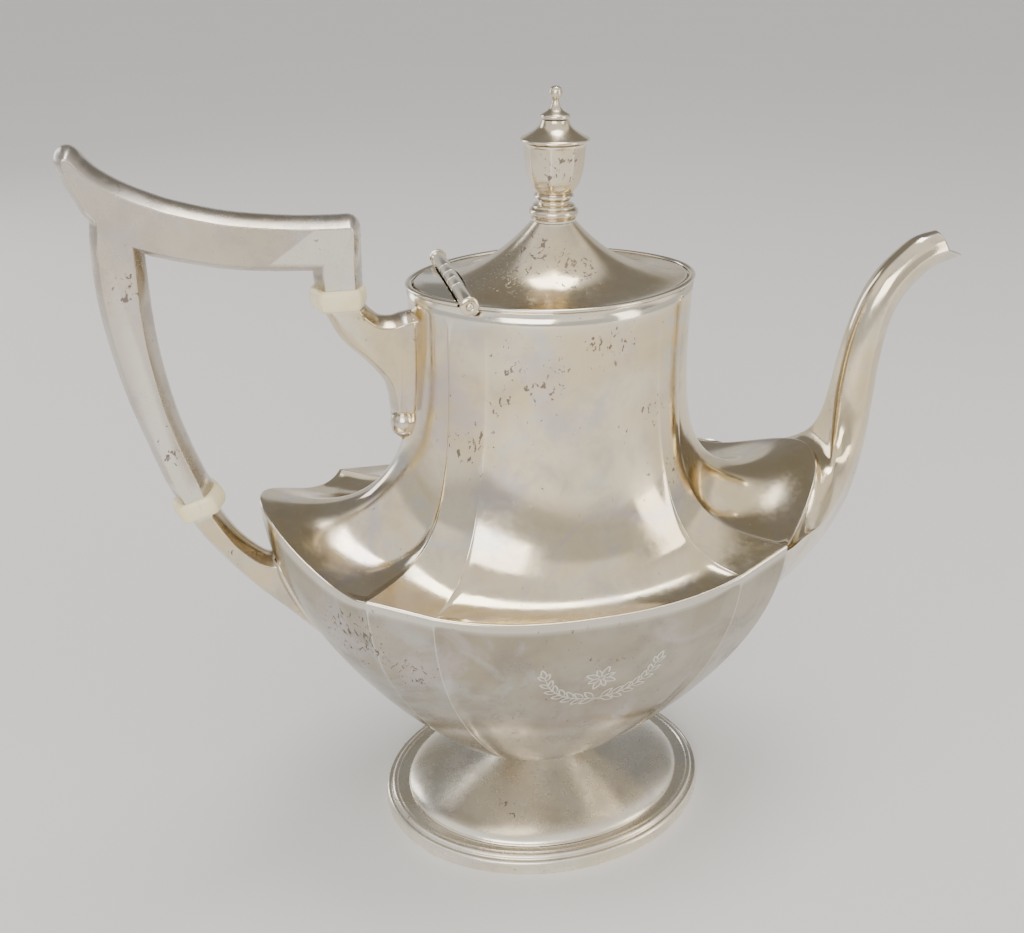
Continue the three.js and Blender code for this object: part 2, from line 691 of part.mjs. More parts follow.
function makeUpperSocket() {
  const shape = new THREE.Shape();
  shape.moveTo(-66.8 + SOCKET_KEEL, 190.0);
  shape.splineThru([
    new THREE.Vector2(-60.6, 180.4), new THREE.Vector2(-54.2, 173.4),
    new THREE.Vector2(-49.4, 167.0), new THREE.Vector2(-47.8, 161.8),
    new THREE.Vector2(-47.6, 157.4),
  ]);
  shape.lineTo(-46.6, 157.4);
  shape.lineTo(-45.0, 183.6);
  shape.splineThru([
    new THREE.Vector2(-47.4, 182.9), new THREE.Vector2(-51.6, 183.6),
    new THREE.Vector2(-55.4, 187.0), new THREE.Vector2(-56.8, 190.0),
  ]);
  shape.closePath();
  const block = keeled(shape, SOCKET_HALF, SOCKET_KEEL);
  const plateCutter = box(-44.0 - GAP, -30, -12, 12, 150, 195);
  const pegHole = pegAt(UPPER_JOINT, pegHeights()[0], PEG + GAP, 9);
  const tools = [jointSlot(UPPER_JOINT), tenonSocket(UPPER_JOINT, -1), pegHole, plateCutter];
  add('upper_socket', biggest(solidOf(cut(block, ...tools))), BODY_SILVER);

  const plate = box(-44.0, -36, -4.6, 4.6, 156.4, 184.2);
  add('upper_socket_plate', cut(plate, HULL), BODY_SILVER);

  const { x, z, r } = BUD;
  const profile = [
    [0, z - 7.2], [0.9, z - 6.6], [2.0, z - 4.4], [r - 0.7, z - 3.2], [r - 0.1, z - 1.6], [r, z],
    [r - 0.3, z + 1.8], [r - 1.6, z + 3.4], [0, z + 4.0],
  ];
  add('upper_socket_bud', cut(turned(profile, 16, x), HULL), BODY_SILVER);
}

function makeLowerSocket() {
  const k = SOCKET_KEEL;
  const shape = new THREE.Shape();
  shape.moveTo(-112.0 + k, 133.0);
  shape.splineThru([
    new THREE.Vector2(-107.0, 124.6), new THREE.Vector2(-100.4, 113.4),
    new THREE.Vector2(-91.8, 101.6), new THREE.Vector2(-84.0, 92.6),
    new THREE.Vector2(-76.4, 83.2),
  ]);
  shape.lineTo(-72, 80);
  shape.lineTo(-80, 112);
  shape.splineThru([
    new THREE.Vector2(-87.2, 109.6), new THREE.Vector2(-91.0, 110.8),
    new THREE.Vector2(-97.6, 118.0), new THREE.Vector2(-102.6, 127.2),
    new THREE.Vector2(-103.8, 132.0),
  ]);
  shape.closePath();
  const block = keeled(shape, SOCKET_HALF, k);
  const pegHole = pegAt(LOWER_JOINT, pegHeights()[0], PEG + GAP, 9);
  const flange = hull(FLANGE + GAP);
  const tools = [jointSlot(LOWER_JOINT), tenonSocket(LOWER_JOINT, -1), pegHole, flange];
  add('lower_socket', biggest(solidOf(cut(block, ...tools))), BODY_SILVER);

  const outline = keeled(flangeOutline(), 8.4, 0.2);
  add('lower_socket_flange', cut(keep(outline, hull(FLANGE)), HULL), BODY_SILVER);
}

function flangeOutline() {
  const shape = new THREE.Shape();
  shape.moveTo(-98, 115.2);
  shape.lineTo(-70, 115.2);
  shape.lineTo(-60, 78.0);
  shape.lineTo(-80, 78.0);
  shape.closePath();
  return shape;
}

// ---------------------------------------------------------------- hinge and lid

const HINGE_LENGTH = KNUCKLES.reduce((sum, length) => sum + length, 0);

function makeHinge() {
  let y = -HINGE_LENGTH / 2;
  const names = ['hinge_knuckle_front', 'lid_knuckle_front', 'hinge_knuckle_middle',
    'lid_knuckle_back', 'hinge_knuckle_back'];
  KNUCKLES.forEach((length, i) => {
    const slack = 0.1;
    const tube = rodY(BARREL, y + slack, y + length - slack, HINGE_X, HINGE_Z, 16);
    const bore = rodY(PIN_BORE, y - 1, y + length + 1, HINGE_X, HINGE_Z, 16);
    add(names[i], cut(tube, bore), i % 2 ? LID_SILVER : BODY_SILVER);
    y += length;
  });
  const headR = 2.6;
  const headEdge = HINGE_LENGTH / 2 + 0.2;
  const tip = headEdge + 1.6;
  const profile = [
    [0, -tip], [0.8, -tip + 0.2], [1.1, -tip + 0.8], [headR - 0.5, -headEdge - 0.7],
    [headR, -headEdge - 0.4], [headR, -headEdge], [PIN, -headEdge],
  ];
  const mirrored = profile.map(([r, v]) => [r, -v]).reverse();
  const pin = turned([...profile, ...mirrored], 16);
  pin.rotateX(Math.PI / 2);
  pin.translate(HINGE_X, 0, HINGE_Z);
  add('hinge_pin', pin, BODY_SILVER);

  const plate = ellipsePlate(LID_X, LID_Y, LID_EDGE_Z - 0.6, LID_EDGE_Z + 0.4);
  const side = box(-60, HINGE_X - BARREL - GAP, -40, 40, 150, 250);
  add('hinge_plate', keep(plate, side), BODY_SILVER);
}

function ellipsePlate(halfX, halfY, z0, z1) {
  const loops = [z0, z1].map((z) => {
    const loop = [];
    for (let i = 0; i < 64; i += 1) {
      const a = (2 * Math.PI * i) / 64;
      const lobe = 1 + MOUTH_LOBE * Math.cos(4 * a);
      loop.push(new THREE.Vector3(halfX * lobe * Math.cos(a), halfY * lobe * Math.sin(a), z));
    }
    return loop;
  });
  return loft(loops);
}

// A level loop of the lid: s runs from the lid's edge (0) to the finial's seat (1).
function lidLoop(s, drop) {
  const spread = bezier(1, 0.62, 0.3, 0, s);
  const height = bezier(0, 0, 0.32, 1, s);
  const around = 36;
  const loop = [];
  for (let i = 0; i < around; i += 1) {
    const a = (2 * Math.PI * i) / around;
    const lobe = 1 + MOUTH_LOBE * Math.cos(4 * a) * spread;
    const halfX = mix(LID_TOP_R, LID_X, spread) * lobe;
    const halfY = mix(LID_TOP_R, LID_Y, spread) * lobe;
    const shrink = drop * s * 0.8;
    loop.push(new THREE.Vector3((halfX - shrink) * Math.cos(a), (halfY - shrink) * Math.sin(a),
      mix(LID_EDGE_Z, LID_TOP_Z, height) - drop));
  }
  return loop;
}

function makeLid() {
  const steps = 7;
  const loops = [];
  for (let i = 0; i <= steps; i += 1) {
    loops.push(lidLoop(i / steps, 0));
  }
  for (let i = steps; i >= 0; i -= 1) {
    loops.push(lidLoop(i / steps, 1.0));
  }
  const front = box(HINGE_X + BARREL + GAP, 60, -40, 40, 150, 250);
  const top = lidLoop(1, 0);
  const under = lidLoop(1, 1.0);
  const bell = loft(loops, true);
  const seat = cut(loft([under, top]), turnedRod(1.8, 200, 215));
  add('lid', keep(join(bell, grown(seat)), front), LID_SILVER);

  const outer = ellipsePlate(LID_X - 0.3, LID_Y - 0.3, LID_EDGE_Z - 1 - GAP - BEZEL_DEPTH, LID_EDGE_Z - 1 - GAP);
  const innerCut = ellipsePlate(LID_X - 1.3, LID_Y - 1.3, LID_EDGE_Z - 20, LID_EDGE_Z + 5);
  const bezelFront = box(HINGE_X + BARREL + GAP + 1.5, 60, -40, 40, 150, 250);
  add('lid_bezel', keep(cut(outer, innerCut), bezelFront), LID_SILVER);
}

// The seat disc is widened slightly so that it fuses with the bell's upper edge.
function grown(geometry) {
  return geometry.scale(1.02, 1.02, 1);
}

function turnedRod(radius, z0, z1) {
  return turned([[0, z0], [radius, z0], [radius, z1], [0, z1]], 12);
}

// ---------------------------------------------------------------- finial

function makeFinial() {
  const collar = [
    [1.8, 209.5], [6.2, 209.5], [6.3, 210.4], [6.9, 211.2], [6.8, 212.3], [5.9, 212.9],
    [5.8, 213.7], [4.6, 214.0], [4.4, 215.2], [1.8, 215.2], [1.8, 209.5],
  ];
  add('finial_collar', turned(collar, 24), LID_SILVER);
  add('finial_urn', panelledUrn(), LID_SILVER);
  const cap = [
    [1.6, 230.7], [9.0, 230.7], [9.6, 231.2], [9.4, 231.8], [8.6, 232.3], [6.2, 233.3], [4.4, 234.7],
    [3.5, 236.4], [1.6, 236.4], [1.6, 230.7],
  ];
  add('finial_cap', turned(cap, 24), LID_SILVER);
  const knop = [
    [0, 236.7], [3.6, 236.7], [4.1, 237.2], [4.0, 237.7], [3.2, 238.1], [1.9, 238.9], [1.2, 240.0],
    [0.9, 241.4], [1.4, 241.9], [1.75, 242.8], [1.75, 243.5], [1.3, 244.5], [0.6, TOTAL_Z - 0.05],
    [0, TOTAL_Z],
  ];
  add('finial_knop', turned(knop, 16), LID_SILVER);
  add('finial_stud', turnedRod(1.3, 203.6, 236.3), HIDDEN_METAL);
  const nut = [[1.6, 204.6], [4.2, 204.6], [4.2, 206.8], [1.6, 206.8], [1.6, 204.6]];
  add('finial_nut', turned(nut, 6), HIDDEN_METAL);
  const washer = [[1.6, 207.1], [4.6, 207.1], [4.6, 207.8], [1.6, 207.8], [1.6, 207.1]];
  add('finial_washer', turned(washer, 20), HIDDEN_METAL);
}

// The urn has eight shallow panels between a small foot ring and its mouth.
function panelledUrn() {
  const rings = [
    [5.4, 215.5], [5.5, 216.2], [5.1, 216.8], [5.4, 217.2], [6.9, 219.6], [7.9, 222.6], [8.4, 226.2],
    [8.6, 230.4],
  ];
  const around = 32;
  const ringLoop = (r, z, panel) => {
    const loop = [];
    for (let i = 0; i < around; i += 1) {
      const a = (2 * Math.PI * i) / around;
      const lobe = 1 + panel * Math.cos(8 * a);
      loop.push(new THREE.Vector3(r * lobe * Math.cos(a), r * lobe * Math.sin(a), z));
    }
    return loop;
  };
  const loops = rings.map(([r, z]) => ringLoop(r, z, z > 217 ? 0.018 : 0));
  return cut(loft(loops), turnedRod(1.6, 210, 235));
}

// ---------------------------------------------------------------- assembly

makeFoot();
makeBody();
makeRim();
makeSpout();
makeUpperSocket();
makeLowerSocket();
makeHandle();
makeHinge();
makeLid();
makeFinial();

inner.position.x = -(LIP.x + THUMB.x - 1.1) / 2;

const pot = new THREE.Group();
pot.add(inner);

export default pot;
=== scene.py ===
"""Silver coffee pot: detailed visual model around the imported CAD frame.

Shapes are written in millimetres about the axis of the foot, +Z up, spout towards +X, and are turned
into metres in the frame's own axes when each mesh is made. The near and far sides mirror at y = 0.
"""
import math

import bmesh
import bpy
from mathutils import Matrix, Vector
from mathutils.bvhtree import BVHTree


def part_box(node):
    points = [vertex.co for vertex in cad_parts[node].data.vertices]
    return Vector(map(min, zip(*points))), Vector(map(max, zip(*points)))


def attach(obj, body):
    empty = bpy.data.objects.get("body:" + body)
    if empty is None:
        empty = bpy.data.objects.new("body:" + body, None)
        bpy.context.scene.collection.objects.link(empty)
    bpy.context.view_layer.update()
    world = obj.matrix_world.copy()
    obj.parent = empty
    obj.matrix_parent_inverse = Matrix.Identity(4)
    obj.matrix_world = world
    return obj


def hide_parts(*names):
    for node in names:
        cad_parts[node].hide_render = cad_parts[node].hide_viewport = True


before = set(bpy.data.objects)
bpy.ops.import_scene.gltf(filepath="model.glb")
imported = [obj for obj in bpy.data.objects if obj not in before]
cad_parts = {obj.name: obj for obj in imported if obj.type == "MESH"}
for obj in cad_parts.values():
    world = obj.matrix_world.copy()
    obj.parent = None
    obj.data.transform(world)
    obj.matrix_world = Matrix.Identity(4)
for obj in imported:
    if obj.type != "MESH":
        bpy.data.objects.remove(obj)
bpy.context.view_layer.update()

MM = 0.001


def mid_x(node):
    low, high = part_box(node)
    return (low[0] + high[0]) / 2


OX = mid_x("foot_rim")              # the foot's axis in the frame, metres

# ---- dimensions (mm)

SHEET = 1.2
FOOT_X, FOOT_Y = 58.4, 45.0
STEM_X, STEM_Y, STEM_Z = 12.0, 9.6, 19.5
SPOUT_END = (91.0, 128.4)
HANDLE_END = (89.8, 131.0)
CORNER = (63.6, 41.4, 116.9)
SOFT = (46.0, 48.4, 113.2)
SIDE = (54.1, 109.6)
MOUTH_X, MOUTH_Y, MOUTH_Z = 41.8, 30.9, 192.0
MOUTH_LOBE = 0.017
MOUTH_SHARP, MOUTH_SOFT = 34.0, 52.0
RIM_WIRE = 0.95                     # half width of the mouth wire
RIM_RISE = 0.6                      # half its height
DOME_Z, DOME_RISE, DOME_TOP = 6.1, 8.0, 19.2    # the dome's start, rise before the stem, top
DOME_IN_X, DOME_IN_Y = 8.3, 6.7     # how far inside the foot's edge the dome starts
BELLY = 0.62                        # how much flatter than a parabola the bowl leaves the stem
HINGE_X, HINGE_Z = -29.35, 193.7
BARREL, PIN, PIN_BORE = 2.1, 0.95, 1.03
KNUCKLES = (14.0, 6.4, 6.4, 6.4, 14.0)
KNUCKLE_GAP = 0.1                   # clear at each end of a knuckle
BARREL_GAP = 0.25                   # clear between the barrel and the lid or the fixed plate
LID_X, LID_Y, LID_EDGE_Z, LID_TOP_Z, LID_TOP_R = 39.7, 28.8, 192.7, 209.2, 6.1
LID_SHEET, BEZEL_DEPTH = 1.0, 6.0
HANDLE_HALF, KEEL = 6.0, 2.3
HANDLE_LEG_X = -80.0                # the handle's short leg stands forward of this
LIP = (135.4, 190.2)
ENGRAVE_SCALE, ENGRAVE_SHIFT = 1.3, 3.0         # the spray's size, and its shift to the right
ENGRAVE_UP, PANEL_HEIGHT = 0.70, 95.0           # its place up the front panel, and the panel's height
LINE_HALF = 0.29                    # half width of an engraved line at its widest
LINE_EDGE, LINE_CENTRE, LINE_ROOT = 0.045, 0.012, -0.12   # heights of its section over the panel
EDGE = 0.7                          # how far the rolled shoulder edge reaches into each panel


# ---- small maths

def mix(a, b, t):
    return a + (b - a) * t


def bezier(a, b, c, d, t):
    u = 1 - t
    return a * u ** 3 + 3 * b * u * u * t + 3 * c * u * t * t + d * t ** 3


def smooth(t):
    t = min(max(t, 0.0), 1.0)
    return t * t * (3 - 2 * t)


def fractions(count):
    """Equal steps from 0 to 1, both ends included."""
    return [k / count for k in range(count + 1)]


def full_turn(count):
    """Angles of equal steps once round a circle."""
    return [2 * math.pi * i / count for i in range(count)]


def last_true(low, high, holds):
    """The value up to which holds stays true, found by halving the range from low to high."""
    for _ in range(40):
        middle = (low + high) / 2
        if holds(middle):
            low = middle
        else:
            high = middle
    return low


def catmull(points, per=8):
    """A smooth polyline through the points, as tuples of any length."""
    pts = [points[0]] + list(points) + [points[-1]]
    out = []
    for i in range(1, len(pts) - 2):
        p0, p1, p2, p3 = pts[i - 1:i + 3]
        for k in range(per):
            t = k / per
            out.append(tuple(
                0.5 * (2 * b + (c - a) * t + (2 * a - 5 * b + 4 * c - d) * t * t
                       + (3 * b - a - 3 * c + d) * t ** 3)
                for a, b, c, d in zip(p0, p1, p2, p3)))
    out.append(tuple(points[-1]))
    return out


# ---- mesh makers

def at(x, y, z):
    """A point in millimetres about the foot's axis, as metres in the frame."""
    return (OX + x * MM, y * MM, z * MM)


def new_mesh(name, geometry):
    """A mesh of the points and faces, and its bmesh for further work."""
    points, faces = geometry
    mesh = bpy.data.meshes.new(name)
    mesh.from_pydata([at(*p) for p in points], [], faces)
    mesh.validate()
    bm = bmesh.new()
    bm.from_mesh(mesh)
    return mesh, bm


def close(mesh, bm):
    """Turns the faces outwards and writes the bmesh back."""
    bmesh.ops.recalc_face_normals(bm, faces=bm.faces)
    bm.to_mesh(mesh)
    bm.free()


def linked(name, data):
    """A new object in the scene."""
    obj = bpy.data.objects.new(name, data)
    bpy.context.scene.collection.objects.link(obj)
    return obj


def shade_sharp(mesh, degrees):
    mesh.set_sharp_from_angle(angle=math.radians(degrees))


def piece(name, geometry, look, stands_for=(), sharp=0.0):
    """One named mesh. look is its body, slot and material, and an edge over sharp degrees is sharp."""
    body, slot, material = look
    mesh, bm = new_mesh(name, geometry)
    for face in bm.faces:
        face.smooth = True
    bmesh.ops.remove_doubles(bm, verts=bm.verts, dist=1e-7)
    bmesh.ops.dissolve_degenerate(bm, dist=1e-8, edges=bm.edges)
    close(mesh, bm)
    if sharp:
        shade_sharp(mesh, sharp)
    obj = linked(name, mesh)
    mesh.materials.append(material)
    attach(obj, body)
    if stands_for:
        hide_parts(*stands_for)
    return obj


def loft(loops, wrap=False):
    """Points and faces of a surface through loops of equal length: capped, or wrapped end to end."""
    around = len(loops[0])
    points = [p for loop in loops for p in loop]
    faces = []
    rows = len(loops)
    for row in range(rows if wrap else rows - 1):
        after = (row + 1) % rows
        for i in range(around):
            j = (i + 1) % around
            faces.append((row * around + i, row * around + j, after * around + j, after * around + i))
    if not wrap:
        faces.append(tuple(range(around)))
        faces.append(tuple((rows - 1) * around + i for i in range(around)))
    return points, faces


def turned(profile, sides=64, x=0.0, axis_y=False, z=0.0):
    """A turned body from (radius, height) pairs, about a vertical axis or one along Y."""
    closed = profile[0] == profile[-1]
    rows = profile[:-1] if closed else profile
    loops = []
    for r, h in rows:
        ring = [(r * math.cos(a), r * math.sin(a)) for a in full_turn(sides)]
        loops.append([(x + c, h, z + s) if axis_y else (x + c, s, h) for c, s in ring])
    return loft(loops, wrap=closed)


def merged(*parts):
    """Several lots of points and faces as one."""
    points, faces = [], []
    for more_points, more_faces in parts:
        base = len(points)
        points += more_points
        faces += [tuple(base + i for i in face) for face in more_faces]
    return points, faces


def rounded_profile(corners, radius=0.25, steps=4):
    """A closed profile with each corner replaced by a small arc."""
    out = []
    count = len(corners)
    for i in range(count):
        before, here, after = (Vector(corners[(i + k) % count]) for k in (-1, 0, 1))
        to_before, to_after = before - here, after - here
        reach = min(radius, to_before.length * 0.45, to_after.length * 0.45)
        start = here + to_before.normalized() * reach
        end = here + to_after.normalized() * reach
        out += [tuple(start * (1 - t) ** 2 + here * 2 * t * (1 - t) + end * t * t)
                for t in fractions(steps)]
    out.append(out[0])
    return out


def grown(outline, distance):
    """A closed outline moved outwards along its mitres. Outlines run counter-clockwise."""
    count = len(outline)
    out = []
    for i in range(count):
        before, here, after = (Vector(outline[(i + k) % count]) for k in (-1, 0, 1))
        a, b = (here - before).normalized(), (after - here).normalized()
        na, nb = Vector((a.y, -a.x)), Vector((b.y, -b.x))
        normal = na + nb
        if normal.length < 1e-6:
            normal = na
        normal.normalize()
        normal /= max(normal.dot(nb), 0.62)
        out.append((here.x + normal.x * distance, here.y + normal.y * distance))
    return out


def counter_clockwise(outline):
    area = sum(a[0] * b[1] - b[0] * a[1] for a, b in zip(outline, outline[1:] + outline[:1]))
    return outline if area > 0 else outline[::-1]


def thinned(outline, least=0.12):
    """The outline without points closer together than least."""
    out = []
    for p in outline:
        if not out or math.dist(p, out[-1]) > least:
            out.append(p)
    if math.dist(out[0], out[-1]) < least:
        out.pop()
    return out


def keeled(outline, half, keel, roll=0.55, side=0):
    """A flat-faced piece in the XZ plane whose edges roll over and swell to a ridge at y = 0.
    side -1 or 1 gives only its front or back half, a hair short of the mid plane."""
    outline = thinned(counter_clockwise(outline))
    steps = []
    for k in range(6):
        a = math.radians(12 * k)
        steps.append((-roll + roll * math.sin(a), -half + roll - roll * math.cos(a)))
    reach, depth = steps[-1]
    for t in fractions(9)[1:]:
        steps.append((mix(reach, keel, math.sin(math.pi / 2 * t)), depth * (1 - t)))
    if side:
        steps[-1] = (steps[-1][0], -0.01)
        steps = [(offset, -side * y) for offset, y in steps]
    else:
        steps += [(offset, -y) for offset, y in steps[-2::-1]]
    loops = [[(x, y, z) for x, z in grown(outline, offset)] for offset, y in steps]
    return loft(loops)


def crease_caps(obj):
    """Keeps the big flat faces truly flat in shading by splitting normals round their rims."""
    mesh = obj.data
    keys = set()
    for face in mesh.polygons:
        if abs(face.normal.y) > 0.999 and face.area > 2e-5:
            keys.update(face.edge_keys)
    attribute = mesh.attributes.get("sharp_edge") or mesh.attributes.new("sharp_edge", "BOOLEAN", "EDGE")
    for edge in mesh.edges:
        if tuple(sorted(edge.vertices)) in keys:
            attribute.data[edge.index].value = True


# ---- materials

def new_material(name):
    material = bpy.data.materials.new(name)
    material.use_nodes = True
    nodes = material.node_tree.nodes
    return material, nodes, material.node_tree.links, nodes["Principled BSDF"]


class Nodes:
    """Short ways to add the nodes that the materials share."""

    def __init__(self, nodes, links):
        self.nodes, self.links = nodes, links
        self.coords = nodes.new("ShaderNodeTexCoord").outputs["Object"]

    def add(self, kind, inputs, output, **settings):
        """A new node with its settings and inputs, each a constant or a socket. Gives one output."""
        node = self.nodes.new("ShaderNode" + kind)
        for key, value in settings.items():
            setattr(node, key, value)
        for key, value in inputs.items():
            if isinstance(value, bpy.types.NodeSocket):
                self.links.new(value, node.inputs[key])
            else:
                node.inputs[key].default_value = value
        return node.outputs[output]

    def scaled(self, scale, turn=(0, 0, 0)):
        return self.add("Mapping", {"Scale": scale, "Rotation": turn, "Vector": self.coords}, "Vector")

    def noise(self, scale, detail=3.0, rough=0.55, warp=0.0, vector=None):
        return self.add("TexNoise", {"Scale": scale, "Detail": detail, "Roughness": rough,
                                     "Distortion": warp, "Vector": vector or self.coords}, "Fac")

    def ramp(self, value, low, high, out_low=0.0, out_high=1.0):
        return self.add("MapRange", {"From Min": low, "From Max": high, "To Min": out_low,
                                     "To Max": out_high, "Value": value}, "Result",
                        interpolation_type="SMOOTHSTEP")

    def pointed(self, low, high, out_low=0.0, out_high=1.0):
        """How strongly a place stands out (over 0.5) or lies in a hollow (under 0.5), ramped."""
        return self.ramp(self.add("NewGeometry", {}, "Pointiness"), low, high, out_low, out_high)

    def maths(self, kind, a, b):
        return self.add("Math", {0: a, 1: b}, 0, operation=kind)

    def times(self, a, b):
        return self.maths("MULTIPLY", a, b)

    def blend(self, amount, a, b):
        return self.add("Mix", {"Factor": amount, 6: a, 7: b}, 2, data_type="RGBA")

    def bump(self, height, distance, normal=None):
        inputs = {"Distance": distance, "Height": height}
        if normal:
            inputs["Normal"] = normal
        return self.add("Bump", inputs, "Normal")

    def near(self, centre, radius):
        """1 at a point of the object (metres), fading to 0 at radius."""
        away = self.add("VectorMath", {0: self.coords, 1: centre}, "Value", operation="DISTANCE")
        return self.ramp(away, radius * 0.35, radius, 1.0, 0.0)


def rgb(r, g, b):
    return (r, g, b, 1.0)


def silver(name, clean, warm, dull, shine, clusters, speck_size, stains=0.0):
    """Old polished silver: warm film, grey bloom, fine scratches and clusters of tarnish specks."""
    material, nodes, links, bsdf = new_material(name)
    n = Nodes(nodes, links)
    broad = n.noise(19.0, 4.0, 0.6, 0.6)
    middle = n.noise(75.0, 5.0, 0.62, 0.3)
    fine = n.noise(520.0, 3.0, 0.6)
    colour = n.blend(n.ramp(broad, 0.38, 0.66), rgb(*clean), rgb(*warm))
    colour = n.blend(n.ramp(middle, 0.44, 0.72, 0.0, 0.55), colour, rgb(*dull))
    if stains:
        violet = n.ramp(n.noise(27.0, 5.0, 0.6, 1.4), 0.53, 0.66, 0.0, stains)
        colour = n.blend(violet, colour, rgb(0.60, 0.535, 0.57))
        steel = n.ramp(n.noise(31.0, 4.0, 0.6, 1.1), 0.56, 0.68, 0.0, stains * 0.8)
        colour = n.blend(steel, colour, rgb(0.60, 0.635, 0.66))
    # Convex edges are brightened towards pale cream: partly rubbed polish, partly a painted highlight
    # along the rolled edges.
    edge = n.pointed(0.505, 0.54)
    colour = n.blend(n.times(edge, 0.55), colour, rgb(0.93, 0.89, 0.80))
    crevice = n.pointed(0.44, 0.492, 1.0, 0.0)
    colour = n.blend(n.times(crevice, 0.7), colour, rgb(0.27, 0.215, 0.16))

    # Specks stand thinly everywhere, and thickly inside the clusters.
    scatter = n.times(n.ramp(n.noise(46.0, 4.0, 0.66, 0.8), 0.58, 0.70), 0.55)
    for centre, radius in clusters:
        patch = n.times(n.near(centre, radius),
                        n.ramp(n.noise(150.0, 4.0, 0.65, 1.6), 0.40, 0.52))
        scatter = n.maths("MAXIMUM", scatter, patch)
    grit = n.noise(speck_size, 3.0, 0.62, 0.7, n.scaled((1.0, 1.0, 0.6), (0.4, 0.3, 0.5)))
    crowd = n.maths("ADD", grit, n.times(scatter, 0.15))
    speck = n.ramp(crowd, 0.70, 0.735)
    colour = n.blend(n.times(speck, 0.86), colour, rgb(0.17, 0.13, 0.105))
    links.new(colour, bsdf.inputs["Base Color"])
    bsdf.inputs["Metallic"].default_value = 1.0

    rough = n.maths("ADD", n.ramp(middle, 0.35, 0.75, shine, shine + 0.13),
                    n.ramp(fine, 0.35, 0.75, 0.0, 0.05))
    rough = n.maths("ADD", rough, n.times(speck, 0.35))
    links.new(rough, bsdf.inputs["Roughness"])

    waves = n.bump(n.noise(42.0, 2.0, 0.4), 0.00016)
    hairs = n.noise(900.0, 2.0, 0.6, 0.0, n.scaled((1.0, 0.12, 0.5), (0.5, 0.3, 0.9)))
    scratched = n.bump(n.ramp(hairs, 0.62, 0.72), 0.0000025, waves)
    links.new(n.bump(n.maths("SUBTRACT", 1.0, speck), 0.000012, scratched), bsdf.inputs["Normal"])
    return material


def ivory(name):
    """Cream insulator: faint grain along its height, darker where its shape is hollow, with a soft
    polish.
    """
    material, nodes, links, bsdf = new_material(name)
    n = Nodes(nodes, links)
    grain = n.noise(900.0, 4.0, 0.6, 0.4, n.scaled((1.0, 1.0, 0.16)))
    cloud = n.noise(160.0, 3.0, 0.5)
    colour = n.blend(n.ramp(cloud, 0.35, 0.7), rgb(0.93, 0.83, 0.56), rgb(0.89, 0.77, 0.46))
    colour = n.blend(n.ramp(grain, 0.55, 0.75, 0.0, 0.4), colour, rgb(0.58, 0.47, 0.29))
    # Darker where the shape is hollow.
    colour = n.blend(n.pointed(0.42, 0.5, 0.35, 0.0), colour, rgb(0.50, 0.40, 0.25))
    links.new(colour, bsdf.inputs["Base Color"])
    links.new(n.ramp(cloud, 0.3, 0.7, 0.30, 0.42), bsdf.inputs["Roughness"])
    bsdf.inputs["Subsurface Weight"].default_value = 0.12
    bsdf.inputs["Subsurface Radius"].default_value = (0.002, 0.0012, 0.0006)
    bsdf.inputs["Coat Weight"].default_value = 0.25
    bsdf.inputs["Coat Roughness"].default_value = 0.25
    links.new(n.bump(grain, 0.00001), bsdf.inputs["Normal"])
    return material


CLEAN, WARM, DULL = (0.81, 0.715, 0.55), (0.73, 0.60, 0.375), (0.52, 0.455, 0.375)
NECK_SPOTS = [
    (at(-20, -31, 178), 0.011), (at(-22, -32, 166), 0.010), (at(-10, -33, 172), 0.012),
    (at(8, -31, 182), 0.012), (at(26, -30, 160), 0.010), (at(33, -30, 140), 0.011),
    (at(-20, -37, 137), 0.008), (at(-32, -26, 152), 0.012),
]
body_silver = silver("body_silver_patina", CLEAN, WARM, DULL, 0.085, NECK_SPOTS, 700.0, 0.55)
# The bowl's silver is a darker copy of the body's: a painted dark reflection over its underside, with
# its own tarnish specks and stains.
bowl_silver = silver("bowl_silver_patina_and_painted_dark_reflection", (0.46, 0.415, 0.345), (0.38, 0.33, 0.245),
                     (0.27, 0.245, 0.215), 0.15,
                     [(at(-66, -34, 100), 0.018), (at(-50, -40, 92), 0.012)], 760.0, 0.4)
# The foot's silver is a lighter copy of the body's: painted light over the dome, with its own tarnish
# specks.
foot_silver = silver("foot_silver_patina_and_painted_light", (0.92, 0.875, 0.78), (0.87, 0.79, 0.62),
                     (0.70, 0.65, 0.57), 0.2, [(at(-20, -24, 11), 0.007)], 700.0, 0.25)
handle_silver = silver("handle_silver_patina", (0.60, 0.545, 0.475), (0.55, 0.48, 0.375),
                       (0.42, 0.375, 0.355), 0.2,
                       [(at(-113, -6, 152), 0.006), (at(-116, -6, 199), 0.007)], 820.0, 0.35)
socket_silver = silver("socket_silver_patina", (0.66, 0.595, 0.49), WARM, (0.40, 0.36, 0.33), 0.15,
                       [], 760.0, 0.3)
lid_silver = silver("lid_silver_patina", CLEAN, WARM, DULL, 0.13,
                    [(at(-9, -8, 203), 0.012), (at(-16, -10, 197), 0.014), (at(2, -14, 199), 0.012),
                     (at(0, -8, 224), 0.009)], 760.0, 0.2)
hidden_metal = silver("turned_fastener", (0.62, 0.60, 0.57), (0.60, 0.56, 0.48),
                      (0.46, 0.44, 0.42), 0.33, [], 900.0)
ivory_cream = ivory("ivory_cream")
groove_silver = silver("groove_silver", (0.50, 0.48, 0.45), (0.44, 0.41, 0.36),
                       (0.36, 0.34, 0.33), 0.3, [], 900.0)

